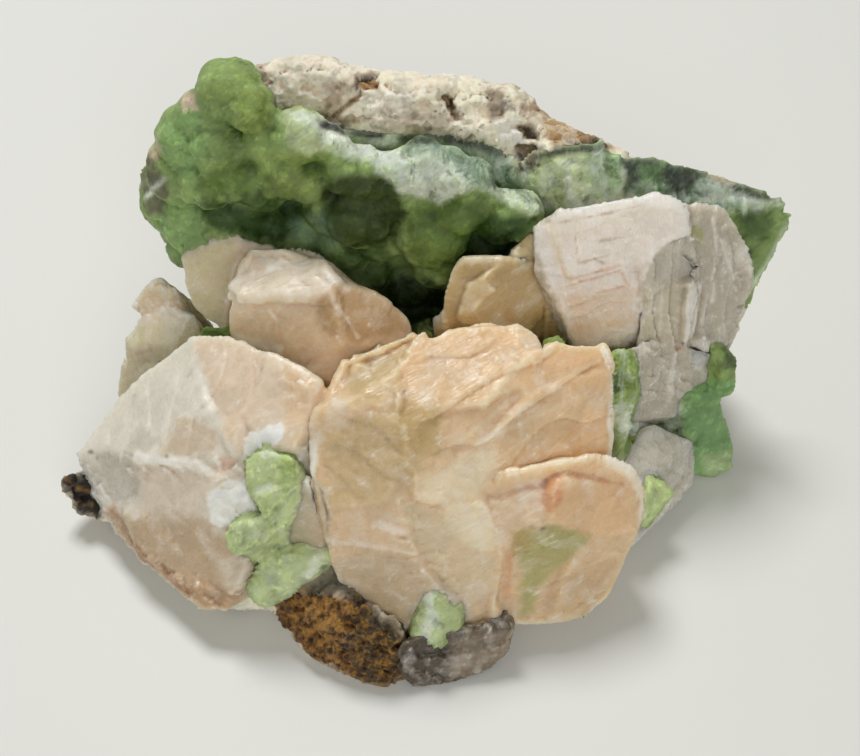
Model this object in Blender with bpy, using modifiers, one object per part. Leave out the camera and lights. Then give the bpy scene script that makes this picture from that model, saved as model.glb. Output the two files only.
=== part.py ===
"""Calcite crystals on green prehnite and host rock, a hand specimen about 130 mm wide.

The host rock is an L: a floor that the specimen stands on and a wall along the back.
A crust of prehnite, in round lumps, lines the wall and the floor. Calcite crystals grew
over the crust last, so their feet follow it, and some hills of it come up between them.

All places are in millimetres until a mesh is finished: X to the right, Y to the back,
Z up, with the table at Z = 0.
"""

import bmesh
import bpy
from mathutils import Matrix, Vector, noise

MM = 0.001

SEAM = 0.3           # open seam where two minerals meet
CRUST_GRAIN = 0.8    # spacing of the points that the crust's lumps are joined with
CRUST_SHARE = 0.034  # share of the crust's faces kept
CRUST_SEAM = 0.7     # open seam between the crust and the calcites
ROCK_SEAM = 1.3      # open seam between the rock and the other minerals
CUTTER_SHARE = 0.042 # share of the faces kept in the shape that cuts this seam
ROCK_GRAIN = 3.0     # spacing of the points that the broken rock surface is made from
ROCK_EDGE = 0.9      # spacing of the points when the rock's cut edges are worn round
ROCK_RELIEF = 1.3    # how far that surface rises and falls
ROCK_WAVE = 9.0      # width of one rise and fall
ROCK_SHARE = 0.036   # share of the rock's faces kept, as flat breaks
SMALLEST_EDGE = 0.01
FLAT_ENOUGH = 0.02   # faces that meet at less than this angle, in radians, are one face

# The host rock: corners of the blocks that it is built up from.
ROCK_WALL = {
    "left": [
        (-31, 33, 68), (-30, 33, 70), (-22, 34, 70), (-15, 34, 68), (-12, 33, 67),
        (-28, 28, 62), (-22, 28, 60), (-12, 28, 59), (-36, 42, 34), (-40, 40, 5),
        (-34, 36, -2), (-6, 42, -2), (-6, 47, 5), (-8, 42, 56), (-36, 30, -2), (-34, 29, 40),
        (-8, 28, -2), (-8, 28, 36),
    ],
    "middle": [
        (-15, 34, 67), (-2, 31, 66), (12, 32, 64), (15, 33, 63), (-14, 28, 59), (-6, 26, 58),
        (7, 28, 59), (13, 25, 57), (17, 26, 57), (-12, 42, 54), (-12, 47, 5), (-8, 42, -2),
        (18, 40, -2), (22, 45, 4), (20, 40, 52), (-12, 28, -2), (22, 28, -2), (-12, 28, 36),
        (20, 28, 36),
    ],
    "right": [
        (14, 30, 61), (19, 29, 60), (24, 28, 58), (29, 26, 57), (14, 25, 57), (22, 25, 57),
        (18, 38, 50), (20, 43, 4), (18, 38, -2), (34, 32, -2), (38, 36, 5), (38, 30, 44),
        (18, 28, -2), (38, 24, -2),
        (18, 28, 36), (36, 24, 36),
    ],
    "end": [
        (30, 31, 53), (34, 27, 52), (44, 24, 49), (54, 22, 46), (34, 34, 20), (34, 37, 5),
        (34, 30, -2), (50, 25, 6), (44, 20, -2), (55, 23, 30), (48, 14, 3), (50, 18, 30),
        (34, 22, -2), (34, 22, 44),
    ],
    "ledge_low": [
        (-30, 38, -2), (-26, 47, 4), (4, 51, 3), (14, 45, 3), (10, 38, -2), (-24, 46, 15),
        (2, 49, 19), (10, 43, 22), (-26, 40, 18),
    ],
    "knob": [
        (-24, 42, 36), (-12, 47, 32), (-5, 45, 44), (-17, 43, 52), (-27, 38, 42), (-10, 38, 50),
        (-6, 38, 30),
    ],
    "chip_right": [
        (22, 40, 22), (32, 40, 12), (37, 35, 28), (27, 37, 36), (24, 30, 24), (36, 28, 18),
    ],
}
ROCK_FLOOR = {
    "left": [
        (-60, -15, 6), (-57, -17, 5), (-50, -2, 5), (-50, -2, 13), (-38, 24, -2), (-40, 28, 12),
        (-36, -35, 8), (-34, -33, 3), (-18, -36, 3), (-12, -32, 12), (-4, 30, 12), (-4, 30, -2),
        (-46, 10, 3), (-57, -17, 11), (-30, 10, -2),
    ],
    "dark_chip": [
        (-65, -11, 13), (-63, -10, 15), (-60, -13, 12), (-67.5, -11, 11), (-67.5, -13, 9),
        (-66.5, -14, 6),
        (-61, -14, 5), (-55, -18, 5), (-54, -12, 13), (-54, -10, 6), (-62, -12, 2.5),
        (-56, -14, 1.5), (-52, -11, 1), (-51, -4, 3), (-60, -8, 3),
    ],
    "front": [
        (-25, -38, 9), (-23, -40, 4), (-19, -42, 2), (-14, -45, -2), (-6, -48, -2),
        (-3, -47, -2), (-16, -38, 14), (-5, -45, 11), (-24, -34, -2), (0, -20, -2),
        (4, -42, -2), (6, -24, 12), (-24, -24, 12), (-12, -20, -2),
    ],
    "right": [
        (-8, -36, -2), (6, -38, 3), (18, -28, -2), (26, -33, 4), (32, -14, -2), (39, -17, 4),
        (39, -2, -2), (47, -4, 3), (40, 14, -2), (46, 16, 3), (-4, 30, -2), (-6, -30, 12),
        (24, -28, 12), (37, -14, 12), (45, 12, 12), (-4, 30, 12),
    ],
}
# Pits weathered into the top of the rock: centre and radius.
ROCK_PITS = [(-10, 31, 66, 2.4), (3, 29.5, 63, 2.2), (16, 26, 59, 2.4), (15, 24.5, 56, 2.2)]

# The prehnite crust: its broken slabs and the hills between the calcites, as corners.
CRUST_SLABS = {
    "wall_left": [
        (-38, 33, 62), (-34, 34, 66), (-32, 34, 66), (-29, 30, 60), (-22, 30, 57),
        (-46, 32, 55), (-48, 30, 49), (-48, 28, 36), (-47, 28, 26), (-37, 33, 26),
        (-23, 28, 46), (-30, 22, 20), (-36, 34, 10), (-24, 28, 10), (-20, 26, 20),
        (-22, 26, 50),
    ],
    "wall_left_end": [
        (-52, 29, 49), (-47, 30, 51), (-52, 28, 40), (-51, 28, 36), (-49, 28, 26),
        (-45, 29, 40), (-44, 29, 50), (-43, 30, 29), (-38, 36, 22), (-40, 32, 30),
    ],
    "wall_middle": [
        (-24, 28, 58), (-9, 28, 58), (-5, 26, 58), (7, 28, 58), (14, 25, 55), (-16, 28, 51),
        (-2, 25, 49), (9, 24, 48), (-23, 28, 53), (-22, 23, 20), (14, 22, 20), (-22, 28, 12),
        (14, 26, 12),
    ],
    "wall_right": [
        (12, 24, 53), (18, 24, 57), (22, 24, 58), (29, 25, 58), (32, 24, 56), (12, 24, 46),
        (23, 23, 45), (36, 21, 48), (35, 23, 55), (10, 19, 20), (40, 12, 20), (40, 14, 12),
        (10, 26, 12),
    ],
    "wall_right_end": [
        (33, 24, 55), (36, 25, 55), (38, 24, 55), (45, 24, 52), (55, 23, 49), (62, 21, 48),
        (64, 20, 46), (62, 19, 40), (59, 17, 30), (47, 20, 47), (36, 21, 47), (38, 12, 20),
        (50, 8, 14), (54, 12, 20), (52, 14, 34), (38, 14, 12),
    ],
    "white_break": [
        (-25, 29, 61), (-22, 27, 60), (-17, 28, 58), (-7, 26, 54), (-8, 27, 51),
        (-16, 28, 51), (-23, 29, 52), (-26, 29, 56), (-20, 25, 48), (-8, 24, 46),
    ],
    "floor_left": [
        (-46, -4, 9), (-28, -30, 10), (-10, -34, 10), (-6, 26, 10), (-38, 27, 10), (-42, 0, 17),
        (-26, -20, 18), (-8, -24, 18), (-6, 24, 20), (-36, 24, 20),
    ],
    "floor_right": [
        (-12, -34, 10), (22, -30, 8), (38, -14, 8), (46, 8, 8), (-10, 26, 10), (-12, -24, 18),
        (20, -20, 18), (33, -8, 19), (40, 8, 20), (-10, 24, 20),
    ],
    "foot_right": [
        (46, -1, 21), (51, 1, 21), (52, 0, 18), (54, -1, 12), (57, -2, 4), (57, -3, 1),
        (53, -3, 0), (49, -4, 1), (47, -3, 14), (38, 2, 8), (40, 0, 1), (42, 8, 16),
        (50, 8, 14), (52, 4, 1),
    ],
    "notch_right": [
        (51, 1, 28), (54, 2, 27), (55, 0, 20), (52, 0, 19), (50, 12, 14), (52, 12, 22),
        (48, 10, 28),
    ],
}
CRUST_HILLS = {
    "left_front": [
        (-30, -24, 33), (-27, -23, 35), (-22, -25, 36), (-21, -26, 33), (-24, -28, 28),
        (-27, -29, 26), (-30, -27, 29), (-26, -18, 12), (-18, -18, 12), (-22, -26, 12),
    ],
    "low_left": [
        (-33, -30, 24), (-27, -30, 26), (-27, -31, 21), (-32, -33, 19), (-34, -32, 20),
        (-28, -28, 10), (-22, -28, 10), (-24, -22, 12),
    ],
    "low_front": [
        (-30, -34, 14), (-28, -32, 17), (-22, -32, 17), (-17, -32, 18), (-19, -33, 14),
        (-22, -35, 10), (-28, -37, 8), (-31, -36, 9), (-14, -30, 10), (-18, -26, 12),
    ],
    "front": [
        (-3, -42, 9), (0, -38, 16), (2, -39, 14), (5, -40, 11), (4, -42, 7), (-2, -43, 6),
        (2, -34, 7), (6, -30, 10), (0, -30, 8),
    ],
    "rear_left": [
        (-42, 5, 31), (-39, 6, 33), (-36, 6, 33), (-35, 3, 30), (-41, 4, 29), (-34, 0, 12),
        (-28, -2, 12), (-30, 8, 14),
    ],
    "right": [
        (31, -2, 36), (35, -1, 35), (36, -5, 30), (34, -9, 25), (31, -14, 20), (33, -14, 21),
        (30, -7, 28), (30, -12, 12), (34, 0, 14), (26, -4, 14),
    ],
    "middle": [
        (19, 1, 35), (22, 1, 36), (24, -1, 35), (20, -1, 34), (18, -2, 14), (26, -4, 14),
        (22, 4, 14),
    ],
    "gap": [
        (-3, 8, 31), (0, 9, 32), (0, 6, 30), (0, 2, 14), (4, 2, 14), (2, 8, 16), (-2, 6, 14),
    ],
    "low_right": [
        (38, -16, 17), (40, -15, 16), (43, -15, 12), (41, -17, 9), (39, -19, 6),
        (36, -21, 12), (34, -14, 6), (34, -8, 8), (36, -12, 4),
    ],
}
# Its round lumps: centre and radius.
CRUST_LUMPS = [
    (-33, 26, 67, 5.5), (-29, 22, 67, 3.6), (-36.5, 25, 62, 5.5), (-40.5, 24.5, 58.5, 5.5),
    (-35, 21, 59, 5), (-43, 24, 52, 5.5), (-38, 21, 53, 5), (-32, 20, 54.5, 4.5),
    (-46, 27, 42.5, 5.5), (-41, 24, 41.5, 6.5), (-43, 27, 33, 5.5), (-34.5, 23, 43, 6),
    (-27, 21, 61, 4), (-21.5, 20, 63, 4.6), (-24.5, 19.5, 56.5, 5), (-20.5, 18.5, 55, 4),
    (-28.5, 20, 52.5, 4), (-17, 20, 61, 3.5), (-14.5, 19, 57, 4), (-11, 19, 55, 4.5),
    (-16.5, 20, 47.5, 5), (-12.5, 18, 48, 6), (-8, 20, 41, 5), (-15, 21, 38, 5),
    (-23.5, 24, 36.5, 5.5), (-29.5, 24, 38.5, 5.5), (-19.5, 25, 28.5, 5), (-12.5, 24, 28, 4.5),
    (-25, 26, 27.5, 6), (-6, 19, 50.5, 4), (-2, 18, 51.5, 4), (0.5, 17, 45, 6.5),
    (2, 17.5, 37, 5), (5, 16.5, 49.5, 4.5), (8.5, 16.5, 50.5, 4), (12, 17, 48, 4.5),
    (10, 18.5, 41.5, 4), (15.5, 16.5, 49, 3.5), (6.5, 20, 36.5, 4), (14.5, 21, 37.5, 4),
    (12, 23, 30.5, 5), (-3, 25, 24, 5), (4, 27, 17.5, 5), (-7.5, 27, 18.5, 5),
    (-1.5, 20, 57, 4), (2.5, 19, 56, 4), (6.5, 18, 54.5, 4), (-5, 19, 55.5, 4),
]

# The calcite crystals, cluster by cluster. Crystals of one cluster grew into each other.
CALCITE = {
    "calcite_front_cluster": {
        "left": [
            (-41, 0, 36), (-36, -2, 38), (-31, -5, 40), (-27, -10, 42), (-21, -13, 42),
            (-16, -16, 40), (-48, -1, 30), (-51, -1, 27), (-57, -4, 21), (-63, -8, 14),
            (-49, -16, 24), (-41, -18, 30), (-31, -20, 33), (-22, -20, 37), (-61, -13, 7),
            (-57, -19, 6), (-51, -26, 6), (-43, -33, 7), (-39, -37, 7), (-35, -37, 7),
            (-31, -35, 8), (-30, -32, 16), (-20, -21, 35), (-18, -28, 10), (-46, 5, 19),
            (-37, 6, 26), (-29, 2, 28), (-20, 6, 14), (-36, 10, 12), (-48, -4, 11),
        ],
        "centre_left": [
            (-16, -16, 42), (-14, -12, 44), (-7, -9, 45), (-3, -7, 45), (-1, -8, 44),
            (-16, -21, 40), (-19, -23, 36), (-19, -27, 33), (-17, -32, 22), (-5, -25, 40),
            (-2, -29, 34), (-15, -36, 15), (-8, -39, 10), (-3, -42, 7), (-14, 2, 26),
            (-4, 4, 29), (-15, 4, 16), (0, 6, 16), (0, -20, 12),
        ],
        "centre": [
            (-4, -11, 45), (2, -8, 46), (8, -7, 46), (14, -6, 45), (17, -8, 44), (17, -10, 43),
            (-5, -25, 40), (-8, -32, 28), (-2, -28, 33), (11, -24, 31), (8, -27, 29),
            (11, -30, 25), (12, -33, 22), (11, -37, 12), (2, -41, 6), (-3, -42, 7),
            (11, -40, 7), (-12, -37, 12), (5, 3, 32), (16, 2, 33), (2, 6, 16), (18, 5, 16),
            (20, -24, 10),
        ],
        "centre_right": [
            (16, -11, 43), (23, -8, 43), (29, -7, 42), (30, -10, 39), (30, -15, 33),
            (29, -19, 27), (19, -21, 30), (12, -24, 31), (6, -25, 34), (6, -18, 41),
            (21, 1, 30), (29, 0, 29), (22, 4, 16), (31, 0, 14), (30, -14, 12), (10, -20, 14),
        ],
        "lower_right": [
            (8, -27, 29), (12, -25, 31), (17, -26, 32), (23, -23, 33), (28, -22, 31),
            (34, -22, 27), (36, -23, 23), (36, -25, 18), (34, -29, 14), (31, -34, 7),
            (27, -37, 5), (21, -38, 5), (12, -39, 6), (11, -30, 25), (23, -31, 22),
            (33, -18, 10), (12, -16, 12), (10, -26, 8),
        ],
        "small_grey": [
            (-21, -25, 30), (-18, -25, 29), (-17, -27, 25), (-16, -30, 18), (-19, -31, 12),
            (-24, -31, 11), (-28, -30, 13), (-29, -30, 17), (-26, -28, 23), (-24, -28, 27),
            (-16, -22, 8), (-26, -20, 8),
        ],
    },
    "calcite_rear_left_cluster": {
        "pale": [
            (-44, 17, 38), (-42, 17, 41), (-37, 16, 43), (-34, 16, 45), (-30, 15, 44),
            (-26, 14, 42), (-44, 14, 34), (-43, 13, 30), (-40, 11, 28), (-36, 12, 30),
            (-39, 21, 34), (-30, 21, 35), (-26, 20, 18), (-40, 21, 16), (-24, 6, 20),
        ],
        "body": [
            (-34, 6, 41), (-15, 2, 43), (-7, 5, 38), (-4, 4, 36), (-3, 2, 34), (-35, 6, 36),
            (-35, 4, 30), (-29, 0, 31), (-22, -4, 31), (-16, -6, 29), (-29, 11, 44),
            (-17, 9, 43), (-26, 16, 35), (-12, 14, 31), (-6, 0, 16), (-28, 0, 16),
            (-27, 18, 16), (-6, 12, 16),
        ],
        "top_slab": [
            (-31, 11, 46), (-25, 10, 47), (-22, 10, 46), (-18, 8, 45), (-15, 5, 44),
            (-15, 2, 44), (-32, 2, 44), (-34, 6, 42), (-33, 9, 44), (-30, 6, 34),
            (-14, 6, 34), (-27, 15, 36), (-18, 14, 36),
        ],
        "rear_edge": [
            (-26, 14, 43), (-22, 13, 44), (-17, 11, 43), (-14, 9, 40), (-12, 9, 38),
            (-24, 14, 20), (-10, 13, 18), (-12, 10, 30),
        ],
    },
    "calcite_left_edge_crystals": {
        "grain": [
            (-51, 18, 30), (-49, 19, 31), (-46, 16, 31), (-45, 15, 29), (-47, 14, 27),
            (-52, 15, 24), (-55, 19, 22), (-54, 18, 26), (-51, 22, 21), (-44, 20, 23),
            (-48, 20, 12), (-40, 21, 12), (-36, 8, 12),
        ],
        "glassy": [
            (-57, 14, 20), (-53, 15, 24), (-46, 14, 29), (-42, 12, 29), (-43, 10, 26),
            (-46, 9, 23), (-51, 10, 19), (-57, 12, 16), (-51, 17, 15), (-41, 16, 20),
            (-48, 14, 9), (-38, 14, 9), (-36, 3, 10),
        ],
        "wedge": [
            (-58, 13, 15), (-44, 10, 22), (-51, 9, 18), (-56, 10, 13), (-59, 8, 10),
            (-59, 10, 11), (-54, 12, 8), (-44, 10, 8), (-36, 2, 8), (-50, -2, 8),
        ],
    },
    "calcite_middle_crystal": {
        "honey": [
            (3, 5, 40), (4, 6, 44), (6, 8, 46), (12, 8, 46), (17, 9, 44), (20, 8, 40),
            (19, 6, 36), (17, 5, 32), (10, 3, 42), (3, 4, 34), (6, 14, 37), (17, 15, 36),
            (10, 2, 18), (20, 4, 18), (18, 17, 16), (7, 17, 16),
        ],
        "chip": [(0, 5, 36), (3, 5, 37), (4, 6, 30), (0, 6, 30), (3, 2, 18), (8, 4, 18)],
        "flank": [
            (15, 12, 47), (17, 13, 49), (19, 11, 48), (21, 8, 41), (24, 4, 33), (19, 6, 29),
            (14, 10, 44), (27, 4, 16), (18, 6, 16),
        ],
    },
    "calcite_right_block": {
        "block": [
            (17, 10, 52), (19, 11, 53), (28, 11, 55), (35, 12, 56), (39, 13, 56), (41, 12, 55),
            (43, 11, 53), (43, 10, 51), (37, 7, 47), (17, 7, 47), (21, 6, 44), (22, 3, 39),
            (24, 2, 34), (32, 1, 34), (36, 4, 41), (22, 18, 42), (40, 19, 43), (24, 6, 18),
            (38, 4, 18), (38, 15, 18), (22, 17, 18),
        ],
        "grey_tall": [
            (38, 12, 53), (43, 14, 53), (49, 15, 51), (53, 15, 45), (54, 14, 43), (56, 13, 41),
            (57, 12, 37), (56, 10, 31), (55, 8, 25), (52, 6, 25), (46, 4, 30), (38, 3, 34),
            (38, 7, 43), (44, 19, 43), (54, 18, 36), (38, 2, 14), (51, 8, 14), (50, 15, 16),
            (38, 14, 16),
        ],
        "blades": [
            (36, 1, 36), (37, 8, 46), (41, 9, 48), (45, 8, 46), (46, 5, 40), (45, 1, 33),
            (40, 1, 31), (38, 0, 14), (44, 4, 14), (42, 8, 24),
        ],
        "grey_low": [
            (32, -1, 33), (38, 0, 34), (45, 2, 31), (51, 4, 27), (51, 3, 22), (47, 0, 19),
            (45, -2, 16), (37, -6, 20), (32, -8, 24), (31, -5, 30), (38, 2, 10), (28, -4, 12),
            (44, 4, 12),
        ],
    },
    "calcite_right_foot": {
        "foot": [
            (37, -6, 19), (40, -5, 19), (47, -5, 14), (48, -6, 9), (48, -8, 5), (46, -10, 3),
            (43, -12, 3), (37, -20, 5), (35, -23, 6), (33, -15, 20), (38, -14, 17),
            (32, -12, 3), (34, -2, 6), (44, -1, 3),
        ],
    },
    "calcite_base_piece": {
        "base": [
            (-5, -44, 10), (2, -42, 10), (14, -41, 10), (13, -42, 4), (10, -44, 1), (3, -46, 0),
            (-3, -47, 0), (-5, -45, 3), (12, -30, 1), (12, -34, 9), (-4, -36, 2),
        ],
    },
}
# Colour, roughness and how much light goes through each mineral.
LOOKS = {
    "host_rock": ((0.36, 0.27, 0.19), 0.85, 0.0),
    "prehnite_crust": ((0.16, 0.26, 0.09), 0.35, 0.15),
    "calcite_front_cluster": ((0.60, 0.43, 0.30), 0.40, 0.20),
    "calcite_rear_left_cluster": ((0.50, 0.40, 0.30), 0.35, 0.25),
    "calcite_left_edge_crystals": ((0.52, 0.45, 0.36), 0.30, 0.30),
    "calcite_middle_crystal": ((0.46, 0.34, 0.18), 0.30, 0.30),
    "calcite_right_block": ((0.58, 0.52, 0.47), 0.35, 0.20),
    "calcite_right_foot": ((0.48, 0.46, 0.40), 0.30, 0.35),
    "calcite_base_piece": ((0.22, 0.17, 0.13), 0.45, 0.20),
}


def clear_scene():
    for obj in list(bpy.data.objects):
        bpy.data.objects.remove(obj, do_unlink=True)


def new_collection(name, hidden=False):
    collection = bpy.data.collections.new(name)
    collection.hide_render = hidden
    bpy.context.scene.collection.children.link(collection)
    return collection


def add_object(name, bm, collection):
    mesh = bpy.data.meshes.new(name)
    bm.to_mesh(mesh)
    bm.free()
    obj = bpy.data.objects.new(name, mesh)
    collection.objects.link(obj)
    return obj


def block(name, corners, collection, grow=0.0):
    """A solid with flat faces round the corners, grown outward by `grow`."""
    bm = bmesh.new()
    for corner in corners:
        bm.verts.new(corner)
    bmesh.ops.convex_hull(bm, input=bm.verts)
    loose = [vert for vert in bm.verts if not vert.link_faces]
    bmesh.ops.delete(bm, geom=loose, context="VERTS")
    bmesh.ops.recalc_face_normals(bm, faces=bm.faces)
    bm.normal_update()
    moves = [(vert, vert.normal * vert.calc_shell_factor() * grow) for vert in bm.verts]
    for vert, move in moves:
        vert.co += move
    return add_object(name, bm, collection)


def ball(name, place, collection, grow=0.0):
    """A round lump from its centre and radius."""
    *centre, radius = place
    bm = bmesh.new()
    bmesh.ops.create_icosphere(
        bm,
        subdivisions=3,
        radius=radius + grow,
        matrix=Matrix.Translation(centre),
    )
    return add_object(name, bm, collection)


def boolean(obj, operation, collection):
    modifier = obj.modifiers.new(operation.lower(), "BOOLEAN")
    modifier.operation = operation
    modifier.solver = "EXACT"
    modifier.operand_type = "COLLECTION"
    modifier.collection = collection


def apply_modifiers(obj):
    graph = bpy.context.evaluated_depsgraph_get()
    mesh = bpy.data.meshes.new_from_object(obj.evaluated_get(graph))
    obj.modifiers.clear()
    obj.data = mesh


def grown_from(blocks, balls, name, collection):
    """One solid from all the blocks and balls, which overlap."""
    others = new_collection(name + "_members", hidden=True)
    solids = [block(f"{name}_{key}", corners, others) for key, corners in blocks.items()]
    solids += [ball(f"{name}_lump_{i}", place, others) for i, place in enumerate(balls)]
    body = solids[0]
    others.objects.unlink(body)
    collection.objects.link(body)
    body.name = name
    body.data.name = name
    if len(solids) > 1:
        boolean(body, "UNION", others)
        apply_modifiers(body)
    for obj in list(others.objects):
        bpy.data.objects.remove(obj, do_unlink=True)
    bpy.data.collections.remove(others)
    return body


def keep_largest(obj):
    """Weld the finest edges and drop chips that a cut has left loose."""
    bm = bmesh.new()
    bm.from_mesh(obj.data)
    bmesh.ops.remove_doubles(bm, verts=bm.verts, dist=SMALLEST_EDGE)
    bmesh.ops.dissolve_limit(bm, angle_limit=FLAT_ENOUGH, verts=bm.verts, edges=bm.edges)
    bmesh.ops.triangulate(bm, faces=bm.faces)
    left = set(bm.faces)
    islands = []
    while left:
        queue = [left.pop()]
        island = []
        while queue:
            face = queue.pop()
            island.append(face)
            for edge in face.edges:
                for other in edge.link_faces:
                    if other in left:
                        left.remove(other)
                        queue.append(other)
        islands.append(island)
    islands.sort(key=lambda island: sum(face.calc_area() for face in island))
    for island in islands[:-1]:
        bmesh.ops.delete(bm, geom=island, context="FACES")
    bmesh.ops.recalc_face_normals(bm, faces=bm.faces)
    bm.to_mesh(obj.data)
    bm.free()


def remesh(obj, spacing):
    """Rebuild the surface from evenly spaced points."""
    modifier = obj.modifiers.new("remesh", "REMESH")
    modifier.mode = "VOXEL"
    modifier.voxel_size = spacing
    apply_modifiers(obj)


def decimate(obj, share):
    """Keep this share of the faces, fewest where the surface is flat."""
    modifier = obj.modifiers.new("decimate", "DECIMATE")
    modifier.ratio = share
    apply_modifiers(obj)


def broken_surface(obj):
    """Give a block the rise and fall and the flat breaks of fractured rock."""
    remesh(obj, ROCK_GRAIN)
    bm = bmesh.new()
    bm.from_mesh(obj.data)
    bm.normal_update()
    moves = []
    for vert in bm.verts:
        wide = noise.noise(vert.co / ROCK_WAVE)
        fine = noise.noise(vert.co / ROCK_WAVE * 2.7 + Vector((7, 3, 5)))
        moves.append((vert, vert.normal * ROCK_RELIEF * (wide + 0.6 * fine)))
    for vert, move in moves:
        vert.co += move
    bm.to_mesh(obj.data)
    bm.free()


def crust_cutter(crust, collection, seam):
    """A copy of the crust, larger all round by the seam."""
    bm = bmesh.new()
    bm.from_mesh(crust.data)
    bm.normal_update()
    moves = [(vert, vert.normal * seam) for vert in bm.verts]
    for vert, move in moves:
        vert.co += move
    cutter = add_object("crust_cutter", bm, collection)
    remesh(cutter, CRUST_GRAIN)
    decimate(cutter, CUTTER_SHARE)
    return cutter


def cut_away(obj, name, crust_shape, seam, blocks=(), balls=()):
    """Cut the crust and the blocks, with their seams, and the pits out of the solid."""
    cutters = new_collection(name, hidden=True)
    cutters.objects.link(crust_shape)
    for number, corners in enumerate(blocks):
        block(f"{name}_{number}", corners, cutters, seam)
    for number, place in enumerate(balls):
        ball(f"{name}_pit_{number}", place, cutters)
    boolean(obj, "DIFFERENCE", cutters)
    apply_modifiers(obj)
    cutters.objects.unlink(crust_shape)
    for cutter in list(cutters.objects):
        bpy.data.objects.remove(cutter, do_unlink=True)
    bpy.data.collections.remove(cutters)


def flat_foot(obj):
    """Cut the foot of the rock level, at the height of the table."""
    bm = bmesh.new()
    bm.from_mesh(obj.data)
    cut = bmesh.ops.bisect_plane(
        bm,
        geom=bm.verts[:] + bm.edges[:] + bm.faces[:],
        plane_co=(0, 0, 0),
        plane_no=(0, 0, 1),
        clear_inner=True,
    )
    edges = [item for item in cut["geom_cut"] if isinstance(item, bmesh.types.BMEdge)]
    bmesh.ops.triangle_fill(bm, edges=edges, use_beauty=True)
    bmesh.ops.recalc_face_normals(bm, faces=bm.faces)
    bm.to_mesh(obj.data)
    bm.free()


def add_material(obj):
    colour, roughness, clear = LOOKS[obj.name]
    material = bpy.data.materials.new(obj.name)
    material.use_nodes = True
    shader = material.node_tree.nodes["Principled BSDF"]
    shader.inputs["Base Color"].default_value = (*colour, 1)
    shader.inputs["Roughness"].default_value = roughness
    shader.inputs["Metallic"].default_value = 0.0
    shader.inputs["Transmission Weight"].default_value = clear
    obj.data.materials.clear()
    obj.data.materials.append(material)


def to_rest(objects):
    """Scale to metres and put the origin at the middle of the specimen's foot."""
    points = [vert.co for obj in objects for vert in obj.data.vertices]
    low = Vector([min(point[axis] for point in points) for axis in range(3)])
    high = Vector([max(point[axis] for point in points) for axis in range(3)])
    middle = Vector(((low.x + high.x) / 2, (low.y + high.y) / 2, low.z))
    move = Matrix.Scale(MM, 4) @ Matrix.Translation(-middle)
    for obj in objects:
        obj.data.transform(move)
    print("middle of the foot", middle, "size", high - low)


def build():
    clear_scene()
    specimen = new_collection("calcite_specimen")
    crust_blocks = {**CRUST_SLABS, **{"hill_" + key: value for key, value in CRUST_HILLS.items()}}
    crust = grown_from(crust_blocks, CRUST_LUMPS, "prehnite_crust", specimen)
    remesh(crust, CRUST_GRAIN)
    decimate(crust, CRUST_SHARE)
    keep_largest(crust)
    cutters = new_collection("cutters", hidden=True)
    crust_shape = crust_cutter(crust, cutters, CRUST_SEAM)
    nodes = [crust]
    taken = []
    for name, crystals in CALCITE.items():
        cluster = grown_from(crystals, [], name, specimen)
        cut_away(cluster, name + "_seams", crust_shape, SEAM, taken)
        keep_largest(cluster)
        nodes.append(cluster)
        taken += crystals.values()
    rock_blocks = {"wall_" + key: value for key, value in ROCK_WALL.items()}
    rock_blocks.update({"floor_" + key: value for key, value in ROCK_FLOOR.items()})
    rock = grown_from(rock_blocks, [], "host_rock", specimen)
    broken_surface(rock)
    wide_shape = crust_cutter(crust, cutters, ROCK_SEAM)
    cut_away(rock, "host_rock_seams", wide_shape, ROCK_SEAM, taken, ROCK_PITS)
    remesh(rock, ROCK_EDGE)
    decimate(rock, ROCK_SHARE)
    flat_foot(rock)
    keep_largest(rock)
    nodes.append(rock)
    for shape in (crust_shape, wide_shape):
        bpy.data.objects.remove(shape, do_unlink=True)
    to_rest(nodes)
    root = bpy.data.objects.new("specimen_root", None)
    specimen.objects.link(root)
    for obj in nodes:
        obj.parent = root
        add_material(obj)


build()
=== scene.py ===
# %% [markdown]
# # Calcite on prehnite: the looks of a hand specimen
#
# The specimen is three minerals that grew one after the other. Broken host rock carries a
# crust of green prehnite, and peach and milky calcite crystals sit on the crust. The packed
# frame has the true forms with flat facets. Each cell below gives one mineral its grown or
# broken surface and then its colour.

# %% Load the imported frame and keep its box
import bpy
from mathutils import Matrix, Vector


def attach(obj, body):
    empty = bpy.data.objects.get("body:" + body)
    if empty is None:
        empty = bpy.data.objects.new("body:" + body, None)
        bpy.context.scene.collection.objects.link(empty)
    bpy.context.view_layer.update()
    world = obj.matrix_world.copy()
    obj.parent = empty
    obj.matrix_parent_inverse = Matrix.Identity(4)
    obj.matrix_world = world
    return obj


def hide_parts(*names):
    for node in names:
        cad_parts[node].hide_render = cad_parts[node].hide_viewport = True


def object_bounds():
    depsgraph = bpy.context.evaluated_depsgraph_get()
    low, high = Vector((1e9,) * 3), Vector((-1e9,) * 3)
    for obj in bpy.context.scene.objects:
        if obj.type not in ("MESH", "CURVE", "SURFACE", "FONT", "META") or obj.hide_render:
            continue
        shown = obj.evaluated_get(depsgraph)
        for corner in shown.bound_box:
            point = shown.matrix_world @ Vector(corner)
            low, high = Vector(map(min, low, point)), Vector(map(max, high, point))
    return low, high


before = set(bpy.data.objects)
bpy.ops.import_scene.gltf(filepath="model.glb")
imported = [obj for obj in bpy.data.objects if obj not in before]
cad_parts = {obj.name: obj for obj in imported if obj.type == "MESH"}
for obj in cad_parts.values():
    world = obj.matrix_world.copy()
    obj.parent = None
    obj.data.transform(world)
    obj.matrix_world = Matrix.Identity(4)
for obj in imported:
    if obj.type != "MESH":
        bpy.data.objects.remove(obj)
CAD_LOW, CAD_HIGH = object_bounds()
print("CAD box, mm", [round(1000 * c, 1) for c in (*CAD_LOW, *CAD_HIGH)])

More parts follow.
